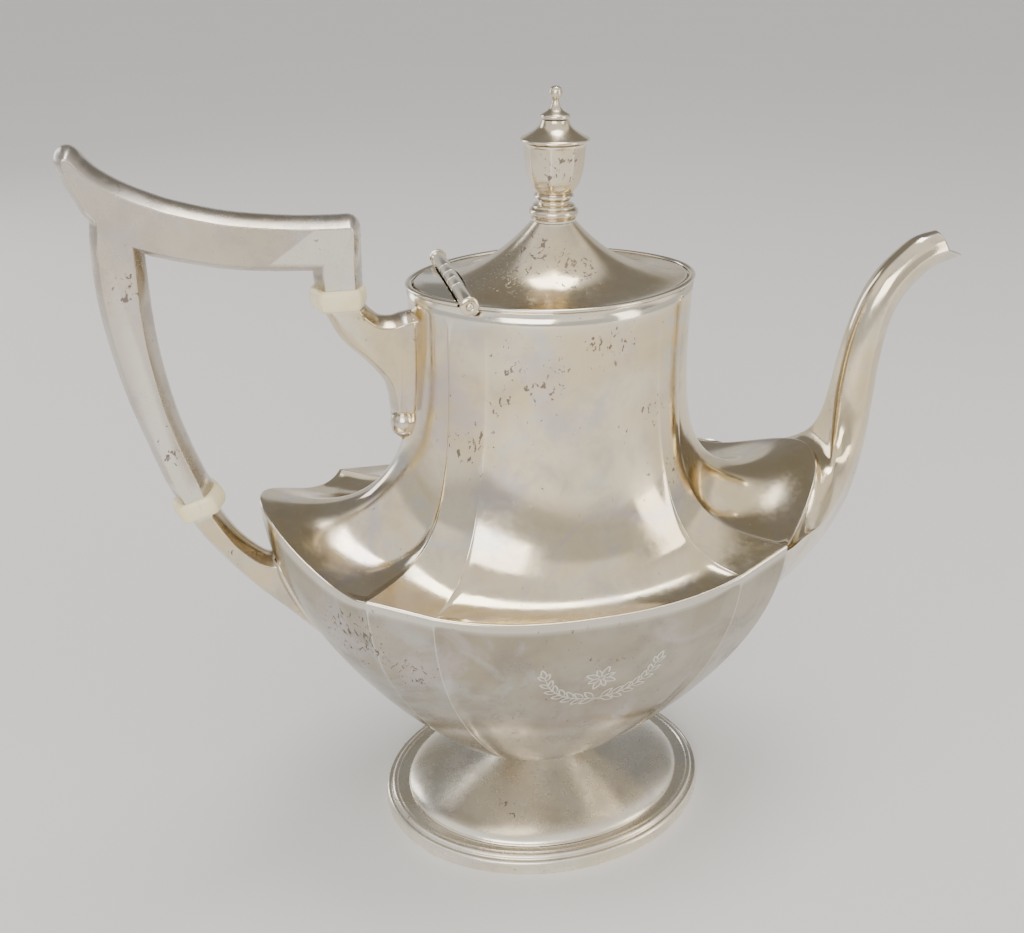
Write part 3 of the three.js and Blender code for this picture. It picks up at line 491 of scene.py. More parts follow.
# Each look is a body, a slot and a material.
BODY = ("pot", "body_silver", body_silver)
BOWL = ("pot", "body_silver", bowl_silver)
FOOT = ("pot", "body_silver", foot_silver)
SOCKET = ("pot", "body_silver", socket_silver)
ENGRAVED = ("pot", "body_silver", groove_silver)
HANDLE = ("pot", "handle_silver", handle_silver)
PEG = ("pot", "peg_silver", hidden_metal)
INSULATOR = ("pot", "insulator_ivory", ivory_cream)
LID = ("lid", "lid_silver", lid_silver)


# ---- the eight-panelled body

END_CELLS, CORNER_CELLS, SIDE_CELLS = 30, 10, 34
END_RUN, SIDE_RUN = 50.0, 46.5      # length of half an end panel, and of half a side panel


def lobed(a, half_x, half_y, share=1):
    """A point of an ellipse that swells towards its ends and sides by the mouth's four lobes."""
    lobe = 1 + MOUTH_LOBE * math.cos(4 * a) * share
    return half_x * lobe * math.cos(a), half_y * lobe * math.sin(a)


def on_mouth(degrees):
    return lobed(math.radians(degrees), MOUTH_X, MOUTH_Y)


def end_plan(s):
    return 1.443 * s ** 2 - 0.443 * s ** 4


def end_rise(s):
    return 2.795 * s ** 2 - 1.795 * s ** 4


def crowded(count):
    """Steps from 0 to 1 that shorten towards 1, where a ridge stands."""
    return [1 - (1 - t) ** 1.6 for t in fractions(count)]


def groove(distance, depth, reach):
    """How far a panel tucks in beside its ridge: nothing on the ridge, deepest at reach."""
    return depth * (distance / reach) * math.exp(1 - distance / reach)


def quarter(end):
    """Stations from the middle of an end to the middle of the side, each a dict of its numbers."""
    corner_polar = math.degrees(math.atan2(CORNER[1], CORNER[0]))
    soft_polar = math.degrees(math.atan2(SOFT[1], SOFT[0]))
    out = []
    for s in crowded(END_CELLS):
        out.append(dict(
            x=mix(end[0], CORNER[0], end_plan(s)), y=CORNER[1] * s,
            z=mix(end[1], CORNER[2], end_rise(s)), mouth=MOUTH_SHARP * s, stem=corner_polar * s,
            sweep=mix(0.1, 0.2, s * s), dip=6 * (1 - s * s),
            low=groove((1 - s) * END_RUN, 0.9, 3.0), high=groove((1 - s) * END_RUN, 0.7, 2.6)))
    for s in [0.015, 0.04] + fractions(CORNER_CELLS)[1:-1] + [0.96, 0.985, 1.0]:
        out.append(dict(
            x=mix(CORNER[0], SOFT[0], s), y=mix(CORNER[1], SOFT[1], s), z=mix(CORNER[2], SOFT[2], s),
            mouth=mix(MOUTH_SHARP, MOUTH_SOFT, s), stem=mix(corner_polar, soft_polar, s),
            sweep=mix(0.2, 0.5, s), dip=0, low=0, high=0))
    for s in [t ** 1.6 for t in fractions(SIDE_CELLS)[1:]]:
        t = 1 - s
        bow = t ** 2.4
        out.append(dict(
            x=SOFT[0] * t, y=mix(SIDE[0], SOFT[1], bow), z=mix(SIDE[1], SOFT[2], bow),
            mouth=mix(90, MOUTH_SOFT, t), stem=mix(90, soft_polar, t), sweep=0.5, dip=0,
            low=groove(s * SIDE_RUN, 0.8, 3.0), high=groove(s * SIDE_RUN, 0.4, 2.4)))
    return out


def all_stations():
    """Stations once round the body: both ends, then their mirror image at the far side."""
    spout_side = quarter(SPOUT_END)
    handle_side = [dict(s, x=-s["x"], mouth=180 - s["mouth"], stem=180 - s["stem"])
                   for s in quarter(HANDLE_END)[:-1][::-1]]
    upper = spout_side + handle_side
    lower = [dict(s, y=-s["y"], mouth=360 - s["mouth"], stem=360 - s["stem"])
             for s in upper[1:-1][::-1]]
    return upper + lower


STATIONS = all_stations()


def upper_point(s, v):
    """A point of the upper body at a station: v runs from 0 on the shoulder edge to 1 at the mouth."""
    spread = bezier(1, s["sweep"], 0.02, 0, v)
    height = bezier(0, 0, 0.1, 1, v)
    waist = mix(0.972, 1, height ** 4)
    mx, my = on_mouth(s["mouth"])
    z = mix(s["z"], MOUTH_Z, height) - s["dip"] * 4 * spread * (1 - spread)
    return Vector((mix(mx * waist, s["x"], spread), mix(my * waist, s["y"], spread), z))


def bowl_point(s, w):
    """A point of the bowl at a station: w runs from 0 at the stem to 1 on the shoulder edge."""
    a = math.radians(s["stem"])
    full = 1 - (1 - w) ** 2
    return Vector((mix(STEM_X * math.cos(a), s["x"], full), mix(STEM_Y * math.sin(a), s["y"], full),
                   mix(STEM_Z, s["z"], w - BELLY * w * (1 - w) ** 5)))


def walk(point_at, station, start, distance, direction):
    """The parameter at which a panel has run distance away from the shoulder edge."""
    origin = point_at(station, start)
    step = 0.002 * direction
    value = start
    while (point_at(station, value) - origin).length < distance:
        value += step
    return value


def offset_rows(rows, distance):
    """Rows of points moved along the surface's own normals."""
    last = len(rows) - 1
    out = []
    for r, loop in enumerate(rows):
        count = len(loop)
        line = []
        for i, p in enumerate(loop):
            along = loop[(i + 1) % count] - loop[i - 1]
            up = rows[min(r + 1, last)][i] - rows[max(r - 1, 0)][i]
            line.append(p + along.cross(up).normalized() * distance)
        out.append(line)
    return out


def relief(rows, key, weight):
    """Rows with each panel tucked in beside its ridges; weight fades it from row to row."""
    normals = offset_rows(rows, 1.0)
    last = len(rows) - 1
    return [[p - (q - p) * station[key] * weight(r / last)
             for p, q, station in zip(row, lift, STATIONS)]
            for r, (row, lift) in enumerate(zip(rows, normals))]


UPPER_START = [walk(upper_point, s, 0.0, EDGE, 1) for s in STATIONS]
BOWL_STOP = [walk(bowl_point, s, 1.0, EDGE, -1) for s in STATIONS]


def upper_rows(count):
    """Rows from just above the shoulder edge to the mouth, closer together low down."""
    rows = [[upper_point(s, mix(v0, 1, t ** 1.15)) for s, v0 in zip(STATIONS, UPPER_START)]
            for t in fractions(count)]
    return relief(rows, "high", lambda t: (
        smooth(t / 0.05) * smooth((1 - t) / 0.06) * mix(0.3, 1, smooth((0.75 - t) / 0.55))))


def bowl_rows(count):
    """Rows from the stem to just below the shoulder edge."""
    rows = [[bowl_point(s, mix(0, w1, t)) for s, w1 in zip(STATIONS, BOWL_STOP)]
            for t in fractions(count)]
    return relief(rows, "low", lambda t: smooth((1 - t) / 0.04) * smooth(t / 0.45))


def edge_rows(steps=5):
    """The rolled shoulder edge, from the bowl's top row round to the upper body's first row."""
    rows = []
    for t in fractions(steps):
        loop = []
        for s, w1, v0 in zip(STATIONS, BOWL_STOP, UPPER_START):
            low, tip, high = bowl_point(s, w1), upper_point(s, 0), upper_point(s, v0)
            loop.append(low * (1 - t) ** 2 + tip * 2 * t * (1 - t) + high * t * t)
        rows.append(loop)
    return rows


def make_body():
    """The upper body and the bowl, each a sheet with its inside, and the strainer holes."""
    skin = upper_rows(60)
    inside = offset_rows(skin, -SHEET)
    inside_lip = [[Vector((q.x, q.y, p.z - 0.35)) for p, q in zip(edge_rows()[0], inside[0])]]
    rows = edge_rows()[:-1] + skin + inside[::-1] + inside_lip
    piece("upper_body_panelled", loft(rows, wrap=True), BODY, ["upper_body"])

    bowl = bowl_rows(44)
    hollow = offset_rows(bowl[1:], -SHEET)
    obj = piece("bowl_panelled", loft(bowl + hollow[::-1]), BOWL, ["bowl"], sharp=60)
    tools = []
    for y, z in ((0, 112), (-9, 107), (9, 107), (0, 102), (-8, 96), (8, 96), (0, 91)):
        loops = [[(x, y + 2.4 * math.cos(a), z + 2.4 * math.sin(a)) for a in full_turn(24)]
                 for x in (66, 100)]
        tools.append(loft(loops))
    carve(obj, merged(*tools))


def carve(obj, geometry):
    """Cuts the geometry away from an object with a throwaway tool."""
    mesh, bm = new_mesh("tool", geometry)
    close(mesh, bm)
    tool = linked("tool", mesh)
    modifier = obj.modifiers.new("carve", "BOOLEAN")
    modifier.operation = "DIFFERENCE"
    modifier.solver = "EXACT"
    modifier.object = tool
    graph = bpy.context.evaluated_depsgraph_get()
    result = bpy.data.meshes.new_from_object(obj.evaluated_get(graph))
    obj.modifiers.clear()
    old = obj.data
    obj.data = result
    bpy.data.meshes.remove(old)
    bpy.data.objects.remove(tool)


def keep_biggest(obj):
    """Deletes every loose island but the one with most faces."""
    bm = bmesh.new()
    bm.from_mesh(obj.data)
    bm.faces.ensure_lookup_table()
    seen, islands = set(), []
    for face in bm.faces:
        if face.index in seen:
            continue
        stack, island = [face], []
        seen.add(face.index)
        while stack:
            here = stack.pop()
            island.append(here)
            for edge in here.edges:
                for other in edge.link_faces:
                    if other.index not in seen:
                        seen.add(other.index)
                        stack.append(other)
        islands.append(island)
    islands.sort(key=len, reverse=True)
    scrap = [face for island in islands[1:] for face in island]
    bmesh.ops.delete(bm, geom=scrap, context="FACES")
    bm.to_mesh(obj.data)
    bm.free()


def hull():
    """The body's whole outer surface as one closed solid, faces outwards."""
    points, faces = loft(bowl_rows(30) + edge_rows(3)[1:-1] + upper_rows(30))
    return points, faces[:-2] + [faces[-2][::-1], faces[-1]]


# ---- rim and foot

def make_rim():
    """The wire round the mouth, in two lengths that stop at the hinge barrel."""
    z = MOUTH_Z + RIM_RISE + 0.05

    def wire(start, stop, count):
        loops = []
        for t in fractions(count):
            degrees = mix(start, stop, t)
            x, y = on_mouth(degrees)
            ax, ay = on_mouth(degrees + 1)
            out = Vector((ay - y, x - ax)).normalized()
            cx, cy = x - out.x * SHEET / 2, y - out.y * SHEET / 2
            loops.append([(cx + out.x * RIM_WIRE * math.cos(a), cy + out.y * RIM_WIRE * math.cos(a),
                           z + RIM_RISE * math.sin(a)) for a in full_turn(16)])
        return loft(loops)

    def crossing(x):
        """The angle at which the back of the mouth passes an x."""
        return last_true(90.0, 180.0, lambda degrees: on_mouth(degrees)[0] > x)

    front = crossing(HINGE_X + BARREL + 0.2)
    behind = crossing(HINGE_X - BARREL - 0.2)
    piece("mouth_wire", wire(-front, front, 220), BODY, ["mouth_rim"], sharp=50)
    piece("mouth_wire_behind_hinge", wire(behind, 360 - behind, 90), BODY,
          ["mouth_rim_behind_hinge"], sharp=50)


def ellipse_loop(half_x, half_y, inset, z, count=160):
    """A level ellipse moved inwards by a true distance."""
    loop = []
    for a in full_turn(count):
        c, s = math.cos(a), math.sin(a)
        normal = Vector((c * half_y, s * half_x)).normalized()
        loop.append((half_x * c - normal.x * inset, half_y * s - normal.y * inset, z))
    return loop


def make_foot():
    """The moulded ring, the raised dome with its inside, and the bead under the bowl."""
    rim = [                         # (inset from the foot's edge, height)
        (2.2, 0.0), (0.35, 0.0), (0.05, 0.3), (0.0, 1.0), (0.0, 3.7), (0.1, 4.3), (0.4, 4.85),
        (0.85, 5.15), (1.3, 5.15), (1.55, 4.95), (1.8, 4.9), (2.0, 5.1), (2.2, 5.65), (2.7, 6.1),
        (3.3, 6.25), (3.9, 6.05), (4.3, 5.7), (5.0, 5.5), (6.6, 5.6), (9.6, 5.75),
        (9.6, 4.9), (3.0, 3.9), (2.6, 0.6), (2.2, 0.0),
    ]
    smooth_rim = rounded_profile(rim[:-1], 0.16, 3)
    loops = [ellipse_loop(FOOT_X, FOOT_Y, inset, z) for inset, z in smooth_rim[:-1]]
    piece("foot_moulded_ring", loft(loops, wrap=True), FOOT, ["foot_rim"], sharp=50)

    def dome(t, inset):
        s = t ** 1.8
        reach = (1 - s) ** 1.9
        risen = 1 - reach
        lift = DOME_Z + DOME_RISE * math.sqrt(risen) + (DOME_TOP - DOME_Z - DOME_RISE) * risen ** 3
        half_x = mix(STEM_X, FOOT_X - DOME_IN_X, reach) - inset * min(s * 6, 1)
        half_y = mix(STEM_Y, FOOT_Y - DOME_IN_Y, reach) - inset * min(s * 6, 1)
        drop = mix(0.28, inset * 0.8, min(s * 8, 1)) * (1 - s) if inset else 0.0
        return [(half_x * math.cos(a), half_y * math.sin(a), lift - drop) for a in full_turn(160)]

    outside = [dome(t, 0) for t in fractions(56)]
    inside = [dome(t, SHEET) for t in fractions(56)]
    piece("foot_raised_dome", loft(outside + inside[::-1], wrap=True), FOOT, ["foot_dome"], sharp=60)

    # A fine soldered bead hides the seam between bowl and stem.
    bead = [ellipse_loop(STEM_X + 0.25, STEM_Y + 0.25, 0.55 * math.cos(a),
                         STEM_Z + 0.1 + 0.5 * math.sin(a), 96) for a in full_turn(24)]
    piece("stem_solder_bead", loft(bead, wrap=True), FOOT)


# ---- spout

# Up the spout: the inner edge (x, z), the outer keel (x, z), the side ridge (x, y, z), and how far
# the loop hugs the end panel's edge instead of being a quarter ellipse.
SPOUT = [
    (82.0, 121.0, 58.0, 58.0, 56.0, 39.0, 111.0, 1.0),
    (88.6, 126.6, 70.0, 66.0, 64.0, 41.2, 115.0, 1.0),
    (92.4, 127.4, 80.0, 73.2, 71.4, 36.6, 115.6, 0.8),
    (94.4, 129.6, 91.0, 82.2, 84.0, 26.6, 114.2, 0.45),
    (95.3, 134.0, 101.2, 93.2, 95.4, 15.8, 115.6, 0.15),
    (96.0, 140.0, 108.2, 107.0, 101.6, 10.4, 123.0, 0.0),
    (96.6, 149.7, 111.3, 124.5, 104.6, 7.8, 136.0, 0.0),
    (97.6, 160.0, 111.9, 142.0, 105.2, 6.8, 148.6, 0.0),
    (99.4, 170.0, 112.0, 157.0, 105.6, 6.2, 161.0, 0.0),
    (102.4, 179.6, 113.4, 169.6, 107.2, 5.8, 173.2, 0.0),
    (106.8, 187.2, 116.4, 177.4, 110.4, 5.6, 182.0, 0.0),
    (112.6, 193.2, 121.0, 183.0, 115.4, 5.4, 188.0, 0.0),
    (118.0, 197.2, 126.2, 187.2, 120.6, 5.2, 191.6, 0.0),
    (124.4, 198.8, LIP[0], LIP[1], 127.2, 4.6, 193.2, 0.0),
]


def spout_loop(station, inset):
    """A closed loop round the spout at one station, moved inwards by inset."""
    ax, az, kx, kz, rx, ry, rz, hug = station
    hug = min(max(hug, 0.0), 1.0)
    centre = Vector(((ax + kx) / 2, 0, (az + kz) / 2))
    half = []
    for s in fractions(16):
        a = math.pi / 2 * s
        half.append(Vector((
            mix(ax, rx, mix(1 - math.cos(a), end_plan(s), hug)),
            ry * mix(math.sin(a), s, hug),
            mix(az, rz, mix(1 - math.cos(a), end_rise(s), hug)))))
    for s in [0.02] + fractions(12)[1:]:
        bulge = 0.16 * math.sin(math.pi * s)
        half.append(Vector((mix(rx, kx, s + bulge), ry * (1 - s), mix(rz, kz, s + bulge))))
    other = [Vector((p.x, -p.y, p.z)) for p in half[-2:0:-1]]
    return [p + (centre - p).normalized() * inset for p in half + other]


def settled(loops, tree, depth):
    """Loops with every point that would pass into the body stopped within the body's own sheet."""
    out = []
    for loop in loops:
        line = []
        for p in loop:
            place, normal, _, _ = tree.find_nearest(p)
            line.append(place - normal * depth if (p - place).dot(normal) < -depth else p)
        out.append(line)
    return out


def make_spout():
    """The spout as a tube with a rolled lip, its root settled into the body's sheet."""
    stations = catmull(SPOUT, 7)
    tree = BVHTree.FromPolygons(*hull())
    outside = settled([spout_loop(s, 0) for s in stations], tree, 0.35)
    inside = settled([spout_loop(s, 1.0) for s in stations], tree, 0.75)
    rolled = []
    for t in fractions(5)[1:-1]:
        bulge = 0.22 * math.sin(math.pi * t)
        ahead = Vector((0.8, 0, 0.3))
        rolled.append([p.lerp(q, t) + ahead * bulge * 0.4 for p, q in zip(outside[-1], inside[-1])])
    piece("spout_panelled", loft(outside + rolled + inside[::-1], wrap=True), BODY, ["spout"],
          sharp=50)


# ---- handle

def arc_corner(before, corner, after, radius):
    """Points that round one corner of an outline."""
    c = Vector(corner)
    start = c + (Vector(before) - c).normalized() * radius
    end = c + (Vector(after) - c).normalized() * radius
    return [tuple(start * (1 - t) ** 2 + c * 2 * t * (1 - t) + end * t * t)
            for t in fractions(5)]


def handle_outline():
    """The front face's edge; the mid plane stands a keel further out."""
    k = KEEL
    foot_left = (-68.2 + k, 193.0)
    under = catmull([(-78, 202.0), (-90, 203.4), (-101, 205.9), (-108.3, 208.0)])
    inner = catmull([(-113.4, 193.4), (-113.2, 180.4), (-111.5, 164.2), (-108.9, 151.4),
                     (-105.9, 140.8)])
    outer = catmull([(-113.2, 141.0), (-116.4, 154.4), (-119.3, 167.8), (-121.5, 183.6),
                     (-122.2, 197.5), (-121.6, 209.0), (-120.6, 215.6)])
    top = catmull([(-122.2, 219.0), (-124.1, 223.6), (-125.5, 227.4), (-126.1, 230.2),
                   (-126.0, 231.7), (-125.1, 232.5), (-124.0, 231.9), (-122.3, 229.6),
                   (-119.4, 226.6), (-114.4, 223.2), (-108.0, 220.1), (-101.5, 217.6),
                   (-88.8, 214.3), (-72.9, 212.3), (-60.5, 211.8)])
    return (
        [foot_left, (-68.2 + k, 201.4)]
        + under
        + [(-112.6, 209.7)]
        + inner
        + [(-103.4, 133.6), (-109.6, 131.0)]
        + outer
        + [(-120.7, 217.0)]
        + top
        + arc_corner(top[-1], (-56.5, 211.9), (-56.8, 200.0), 1.6)
        + [(-56.9, 193.0)]
    )


def trim(obj, joint, side):
    """Cuts a handle piece square where it meets an insulator: side +1 keeps what lies above it."""
    x, z, tilt = joint
    a = -math.radians(tilt)
    axis = Vector((math.sin(a), 0, math.cos(a)))
    place = Vector((x, 0, z)) + axis * side * (JOINT_HALF + 0.05)
    bm = bmesh.new()
    bm.from_mesh(obj.data)
    geometry = list(bm.verts) + list(bm.edges) + list(bm.faces)
    cut = bmesh.ops.bisect_plane(bm, geom=geometry, dist=1e-8, plane_co=at(*place),
                                 plane_no=-axis * side, clear_outer=True)
    rim = [e for e in cut["geom_cut"] if isinstance(e, bmesh.types.BMEdge)]
    bmesh.ops.holes_fill(bm, edges=rim, sides=0)
    close(obj.data, bm)


UPPER_JOINT = (-61.7, 191.6, 0)
LOWER_JOINT = (-107.0, 132.4, 17)
JOINT_HALF = 3.1


def make_handle():
    """The two shells of the hollow handle, the insulators and the four pegs."""
    for name, side in (("front", -1), ("back", 1)):
        points, faces = keeled(handle_outline(), HANDLE_HALF, KEEL - 0.1, side=side)
        foot = UPPER_JOINT[1] + JOINT_HALF + 0.05
        points = [(x, y, max(z, foot)) if x > HANDLE_LEG_X else (x, y, z) for x, y, z in points]
        obj = piece(f"handle_shell_{name}", (points, faces), HANDLE, [f"handle_{name}_half"])
        trim(obj, LOWER_JOINT, 1)
        crease_caps(obj)
    for name, joint, half_x in (("upper_insulator", UPPER_JOINT, 7.9),
                                ("lower_insulator", LOWER_JOINT, 7.6)):
        make_insulator(name, joint, half_x)
        for end, height in (("handle_peg", 5.2), ("socket_peg", -5.2)):
            place = on_joint(joint, (0, 0, height))
            profile = [(0.01, -4.9), (0.55, -4.9), (0.8, -4.6), (0.8, 4.6), (0.55, 4.9), (0.01, 4.9)]
            piece(f"{name}_{end}_pin", turned(profile, 24, place[0], True, place[2]), PEG,
                  [f"{name}_{end}"], sharp=40)


def rounded_hexagon(half_x, half_y, keel):
    corners = [(half_x - keel, half_y), (-half_x + keel, half_y), (-half_x, 0),
               (-half_x + keel, -half_y), (half_x - keel, -half_y), (half_x, 0)]
    return counter_clockwise(rounded_profile(corners, 1.5, 6)[:-1])


def on_joint(joint, p):
    """A point given about a joint's own upright axis, placed at the joint."""
    x, z, tilt = joint
    a = -math.radians(tilt)
    c, s = math.cos(a), math.sin(a)
    return (x + p[0] * c + p[2] * s, p[1], z - p[0] * s + p[2] * c)


def make_insulator(name, joint, half_x):
    """A cream ring with softly rounded edges, and a square tenon at each end."""
    ring = rounded_hexagon(half_x + 0.3, 7.1, 2.7)
    loops = []
    rows = 18
    for k in range(rows + 1):
        b = -math.pi / 2 + math.pi * k / rows
        bulge = math.cos(b) ** 0.62 if math.cos(b) > 1e-6 else 0.0
        height = JOINT_HALF * math.sin(b)
        loops.append([(px, py, height) for px, py in grown(ring, -1.7 * (1 - bulge))])
    parts = [loft(loops)]
    for low, high in ((-JOINT_HALF - 3.4, -JOINT_HALF + 0.2), (JOINT_HALF - 0.2, JOINT_HALF + 3.4)):
        square = rounded_profile([(-2, -2), (2, -2), (2, 2), (-2, 2)], 0.4, 3)[:-1]
        parts.append(loft([[(px, py, h) for px, py in square] for h in (low, high)]))
    points, faces = merged(*parts)
    placed = [on_joint(joint, p) for p in points]
    piece(f"{name}_ring", (placed, faces), INSULATOR, [name], sharp=60)


# ---- handle sockets

SOCKET_HALF, SOCKET_KEEL = 5.4, 1.8
BUD_X, BUD_Z, BUD_R = -45.4, 151.6, 3.9


def socket_piece(name, outline, joint, node):
    obj = piece(name, keeled(outline, SOCKET_HALF, SOCKET_KEEL, 0.7), SOCKET, [node])
    trim(obj, joint, -1)
    crease_caps(obj)


def make_sockets():
    """The bracket on the neck with its strip and bud, and the arm on the bowl with its pad."""
    k = SOCKET_KEEL
    lower = catmull([(-66.8 + k, 190.0), (-60.6, 180.4), (-54.2, 173.4), (-49.4, 167.0),
                     (-47.8, 161.8), (-47.4, 156.2)])
    upper = catmull([(-44.6, 183.6), (-47.4, 182.9), (-51.6, 183.6), (-55.4, 187.0), (-56.8, 190.0)])
    wall = [(0.9 - back_reach(upper_point, h), h) for h in (156.2, 162, 168, 174, 180, 184.2)]
    socket_piece("upper_bracket", lower + wall + upper, UPPER_JOINT, "upper_socket")

    # Half-round strip behind the bracket, with two flutes.
    flutes = [(-5.2, 0.0), (-5.1, 0.7), (-4.6, 1.3), (-4.0, 1.4), (-3.5, 1.0), (-3.2, 0.9), (-2.8, 1.3),
              (-2.0, 2.0), (-1.0, 2.3), (0.0, 2.4)]
    section = flutes + [(-y, out) for y, out in flutes[-2::-1]]
    loops = []
    for t in fractions(30):
        z = mix(155.6, 184.6, t)
        fade = math.sqrt(max(1 - (2 * t - 1) ** 10, 0.0))
        wall = -back_reach(upper_point, z) + 0.4
        loop = [(wall - (out * fade * 0.9), y * (0.86 + 0.14 * fade), z) for y, out in section]
        loops.append(loop + [(wall + 1.2, 4.4, z), (wall + 1.2, -4.4, z)])
    piece("bracket_back_strip", loft(loops), SOCKET, ["upper_socket_plate"], sharp=50)

    x, z, r = BUD_X, BUD_Z, BUD_R
    profile = catmull([(0.01, z - 7.2), (0.55, z - 6.9), (0.8, z - 6.3), (0.7, z - 5.8), (1.3, z - 5.0),
                       (2.3, z - 4.1), (r - 1.0, z - 3.3)], 4)
    profile += [(r - 0.5, z - 3.0), (r - 0.25, z - 2.6), (r - 0.4, z - 2.2)]
    profile += catmull([(r - 0.3, z - 1.9), (r, z - 0.4), (r - 0.15, z + 1.2), (r - 1.0, z + 2.8),
                        (r - 2.0, z + 3.9), (0.01, z + 4.6)], 4)
    piece("bracket_bud", turned(profile, 40, x), SOCKET, ["upper_socket_bud"], sharp=50)

    low = catmull([(-112.0 + k, 133.0), (-107.0, 124.6), (-100.4, 113.4), (-91.8, 101.6),
                   (-84.0, 92.6), (-76.4, 83.2)])
    high = catmull([(-82.6, 112.6), (-86.6, 109.9), (-91.0, 111.0), (-97.6, 118.2), (-102.6, 127.2),
                    (-103.8, 132.0)])
    wall = [(0.9 - back_reach(bowl_point, h), h) for h in (84, 92, 100, 108, 112)]
    socket_piece("lower_arm", low + wall + high, LOWER_JOINT, "lower_socket")
    make_flange()


def back_reach(point_at, z):
    """How far the skin stands from the axis at a height, on its middle line at the handle's side."""
    station = dict(STATIONS[0], x=HANDLE_END[0], z=HANDLE_END[1])
    return point_at(station, last_true(0.0, 1.0, lambda v: point_at(station, v).z < z)).x


def make_flange():
    """Soldered pad that spreads the lower arm on to the end panel, thinning to nothing at its rim."""
    rings = []
    for t in fractions(26):
        z = mix(81.0, 113.5, t)
        width = 8.2 * math.sqrt(max(1 - (2 * t - 1) ** 4, 0.0)) + 0.05
        front, back = [], []
        for across in fractions(22):
            u = -1 + 2 * across
            y = u * width
            s = abs(y) / CORNER[1]
            shoulder = mix(HANDLE_END[0], CORNER[0], end_plan(s))
            top = mix(HANDLE_END[1], CORNER[2], end_rise(s))
            w = (z - STEM_Z) / (top - STEM_Z)
            x = -mix(STEM_X, shoulder, 1 - (1 - w) ** 2)
            thick = 1.45 * (1 - u ** 4) * (1 - (2 * t - 1) ** 6)
            front.append(Vector((x - (thick + 0.05), y, z - 0.8 * thick)))
            back.append(Vector((x + 0.4, y, z)))
        rings.append(front + back[::-1])
    piece("lower_arm_flange", loft(rings), SOCKET, ["lower_socket_flange"], sharp=50)


# ---- hinge

def make_hinge():
    """Five knuckles, the pin with its domed caps, and the fixed plate."""
    total = sum(KNUCKLES)
    y = -total / 2
    names = ("hinge_knuckle_front", "lid_knuckle_front", "hinge_knuckle_middle", "lid_knuckle_back",
             "hinge_knuckle_back")
    for i, (length, node) in enumerate(zip(KNUCKLES, names)):
        y0, y1 = y + KNUCKLE_GAP, y + length - KNUCKLE_GAP
        corners = [(PIN_BORE, y0), (BARREL, y0), (BARREL, y1), (PIN_BORE, y1)]
        profile = rounded_profile(corners, 0.3, 4)
        piece(f"{node}_turned", turned(profile, 48, HINGE_X, True, HINGE_Z),
              LID if i % 2 == 1 else BODY, [node], sharp=50)
        y += length
    edge = total / 2 + 0.2
    tip = edge + 1.6
    profile = catmull([(0.01, -tip), (0.6, -tip + 0.12), (0.95, -tip + 0.5), (0.95, -tip + 0.9)], 4)
    profile += catmull([(1.25, -edge - 0.95), (1.9, -edge - 0.85), (2.4, -edge - 0.6),
                        (2.6, -edge - 0.3), (2.55, -edge - 0.02)], 4)
    profile += [(PIN, -edge)]
    profile += [(r, -v) for r, v in profile[::-1]]
    piece("hinge_pin_domed", turned(profile, 40, HINGE_X, True, HINGE_Z), BODY, ["hinge_pin"],
          sharp=50)

    # The fixed plate behind the barrel.
    edge_x = HINGE_X - BARREL - BARREL_GAP
    rim = [lobed(math.radians(mix(90, 270, t)), LID_X, LID_Y) for t in fractions(240)]
    rim = [p for p in rim if p[0] <= edge_x]
    outline = counter_clockwise(thinned([(edge_x, rim[0][1])] + rim + [(edge_x, rim[-1][1])], 0.15))
    levels = [(-0.25, 192.1), (-0.02, 192.2), (0, 192.35), (0, 192.85), (-0.06, 193.02), (-0.25, 193.1)]
    loops = [[(px, py, h) for px, py in grown(outline, d)] for d, h in levels]
    piece("hinge_fixed_plate", loft(loops), BODY, ["hinge_plate"], sharp=40)


# ---- lid

def lid_loop(half_x, half_y, z, share=1):
    return [(*lobed(a, half_x, half_y, share), z) for a in full_turn(192)]


def cut_at_hinge(obj, edge_x):
    """Cuts away what lies behind edge_x."""
    loops = [[(edge_x - 60, -40, z), (edge_x, -40, z), (edge_x, 40, z), (edge_x - 60, 40, z)]
             for z in (150, 250)]
    carve(obj, loft(loops))


def make_lid():
    """The bell with its rolled edge, and the ring under it that locates it in the neck."""
    skin = []
    for s in fractions(54):
        spread = bezier(1, 0.62, 0.3, 0, s)
        height = bezier(0, 0, 0.32, 1, s)
        loop = lid_loop(mix(LID_TOP_R, LID_X, spread), mix(LID_TOP_R, LID_Y, spread),
                        mix(LID_EDGE_Z, LID_TOP_Z, height), spread)
        skin.append([Vector(p) for p in loop])
    under = offset_rows(skin, -LID_SHEET)
    under[0] = [Vector((p.x * 0.999, p.y * 0.999, p.z - LID_SHEET)) for p in skin[0]]
    lip = []
    for t in fractions(4)[1:-1]:
        lip.append([q.lerp(p, t) + Vector((q.x, q.y, 0)).normalized() * 0.12 * math.sin(math.pi * t)
                    for q, p in zip(under[0], skin[0])])
    bell = piece("lid_bell", loft(under[::-1] + lip + skin), LID, ["lid"])
    edge_x = HINGE_X + BARREL + BARREL_GAP
    cut_at_hinge(bell, edge_x)
    keep_biggest(bell)
    shade_sharp(bell.data, 40)

    top = LID_EDGE_Z - LID_SHEET
    low = top - BEZEL_DEPTH
    section = [(0.3, top), (0.3, low + 0.4), (0.5, low), (0.9, low - 0.1), (1.25, low + 0.1),
               (1.3, low + 0.5), (1.3, top)]
    loops = [lid_loop(LID_X - inset, LID_Y - inset, z) for inset, z in section]
    bezel = piece("lid_locating_ring", loft(loops, wrap=True), LID, ["lid_bezel"], sharp=50)
    cut_at_hinge(bezel, edge_x + 1.5)
    shade_sharp(bezel.data, 40)


# ---- finial

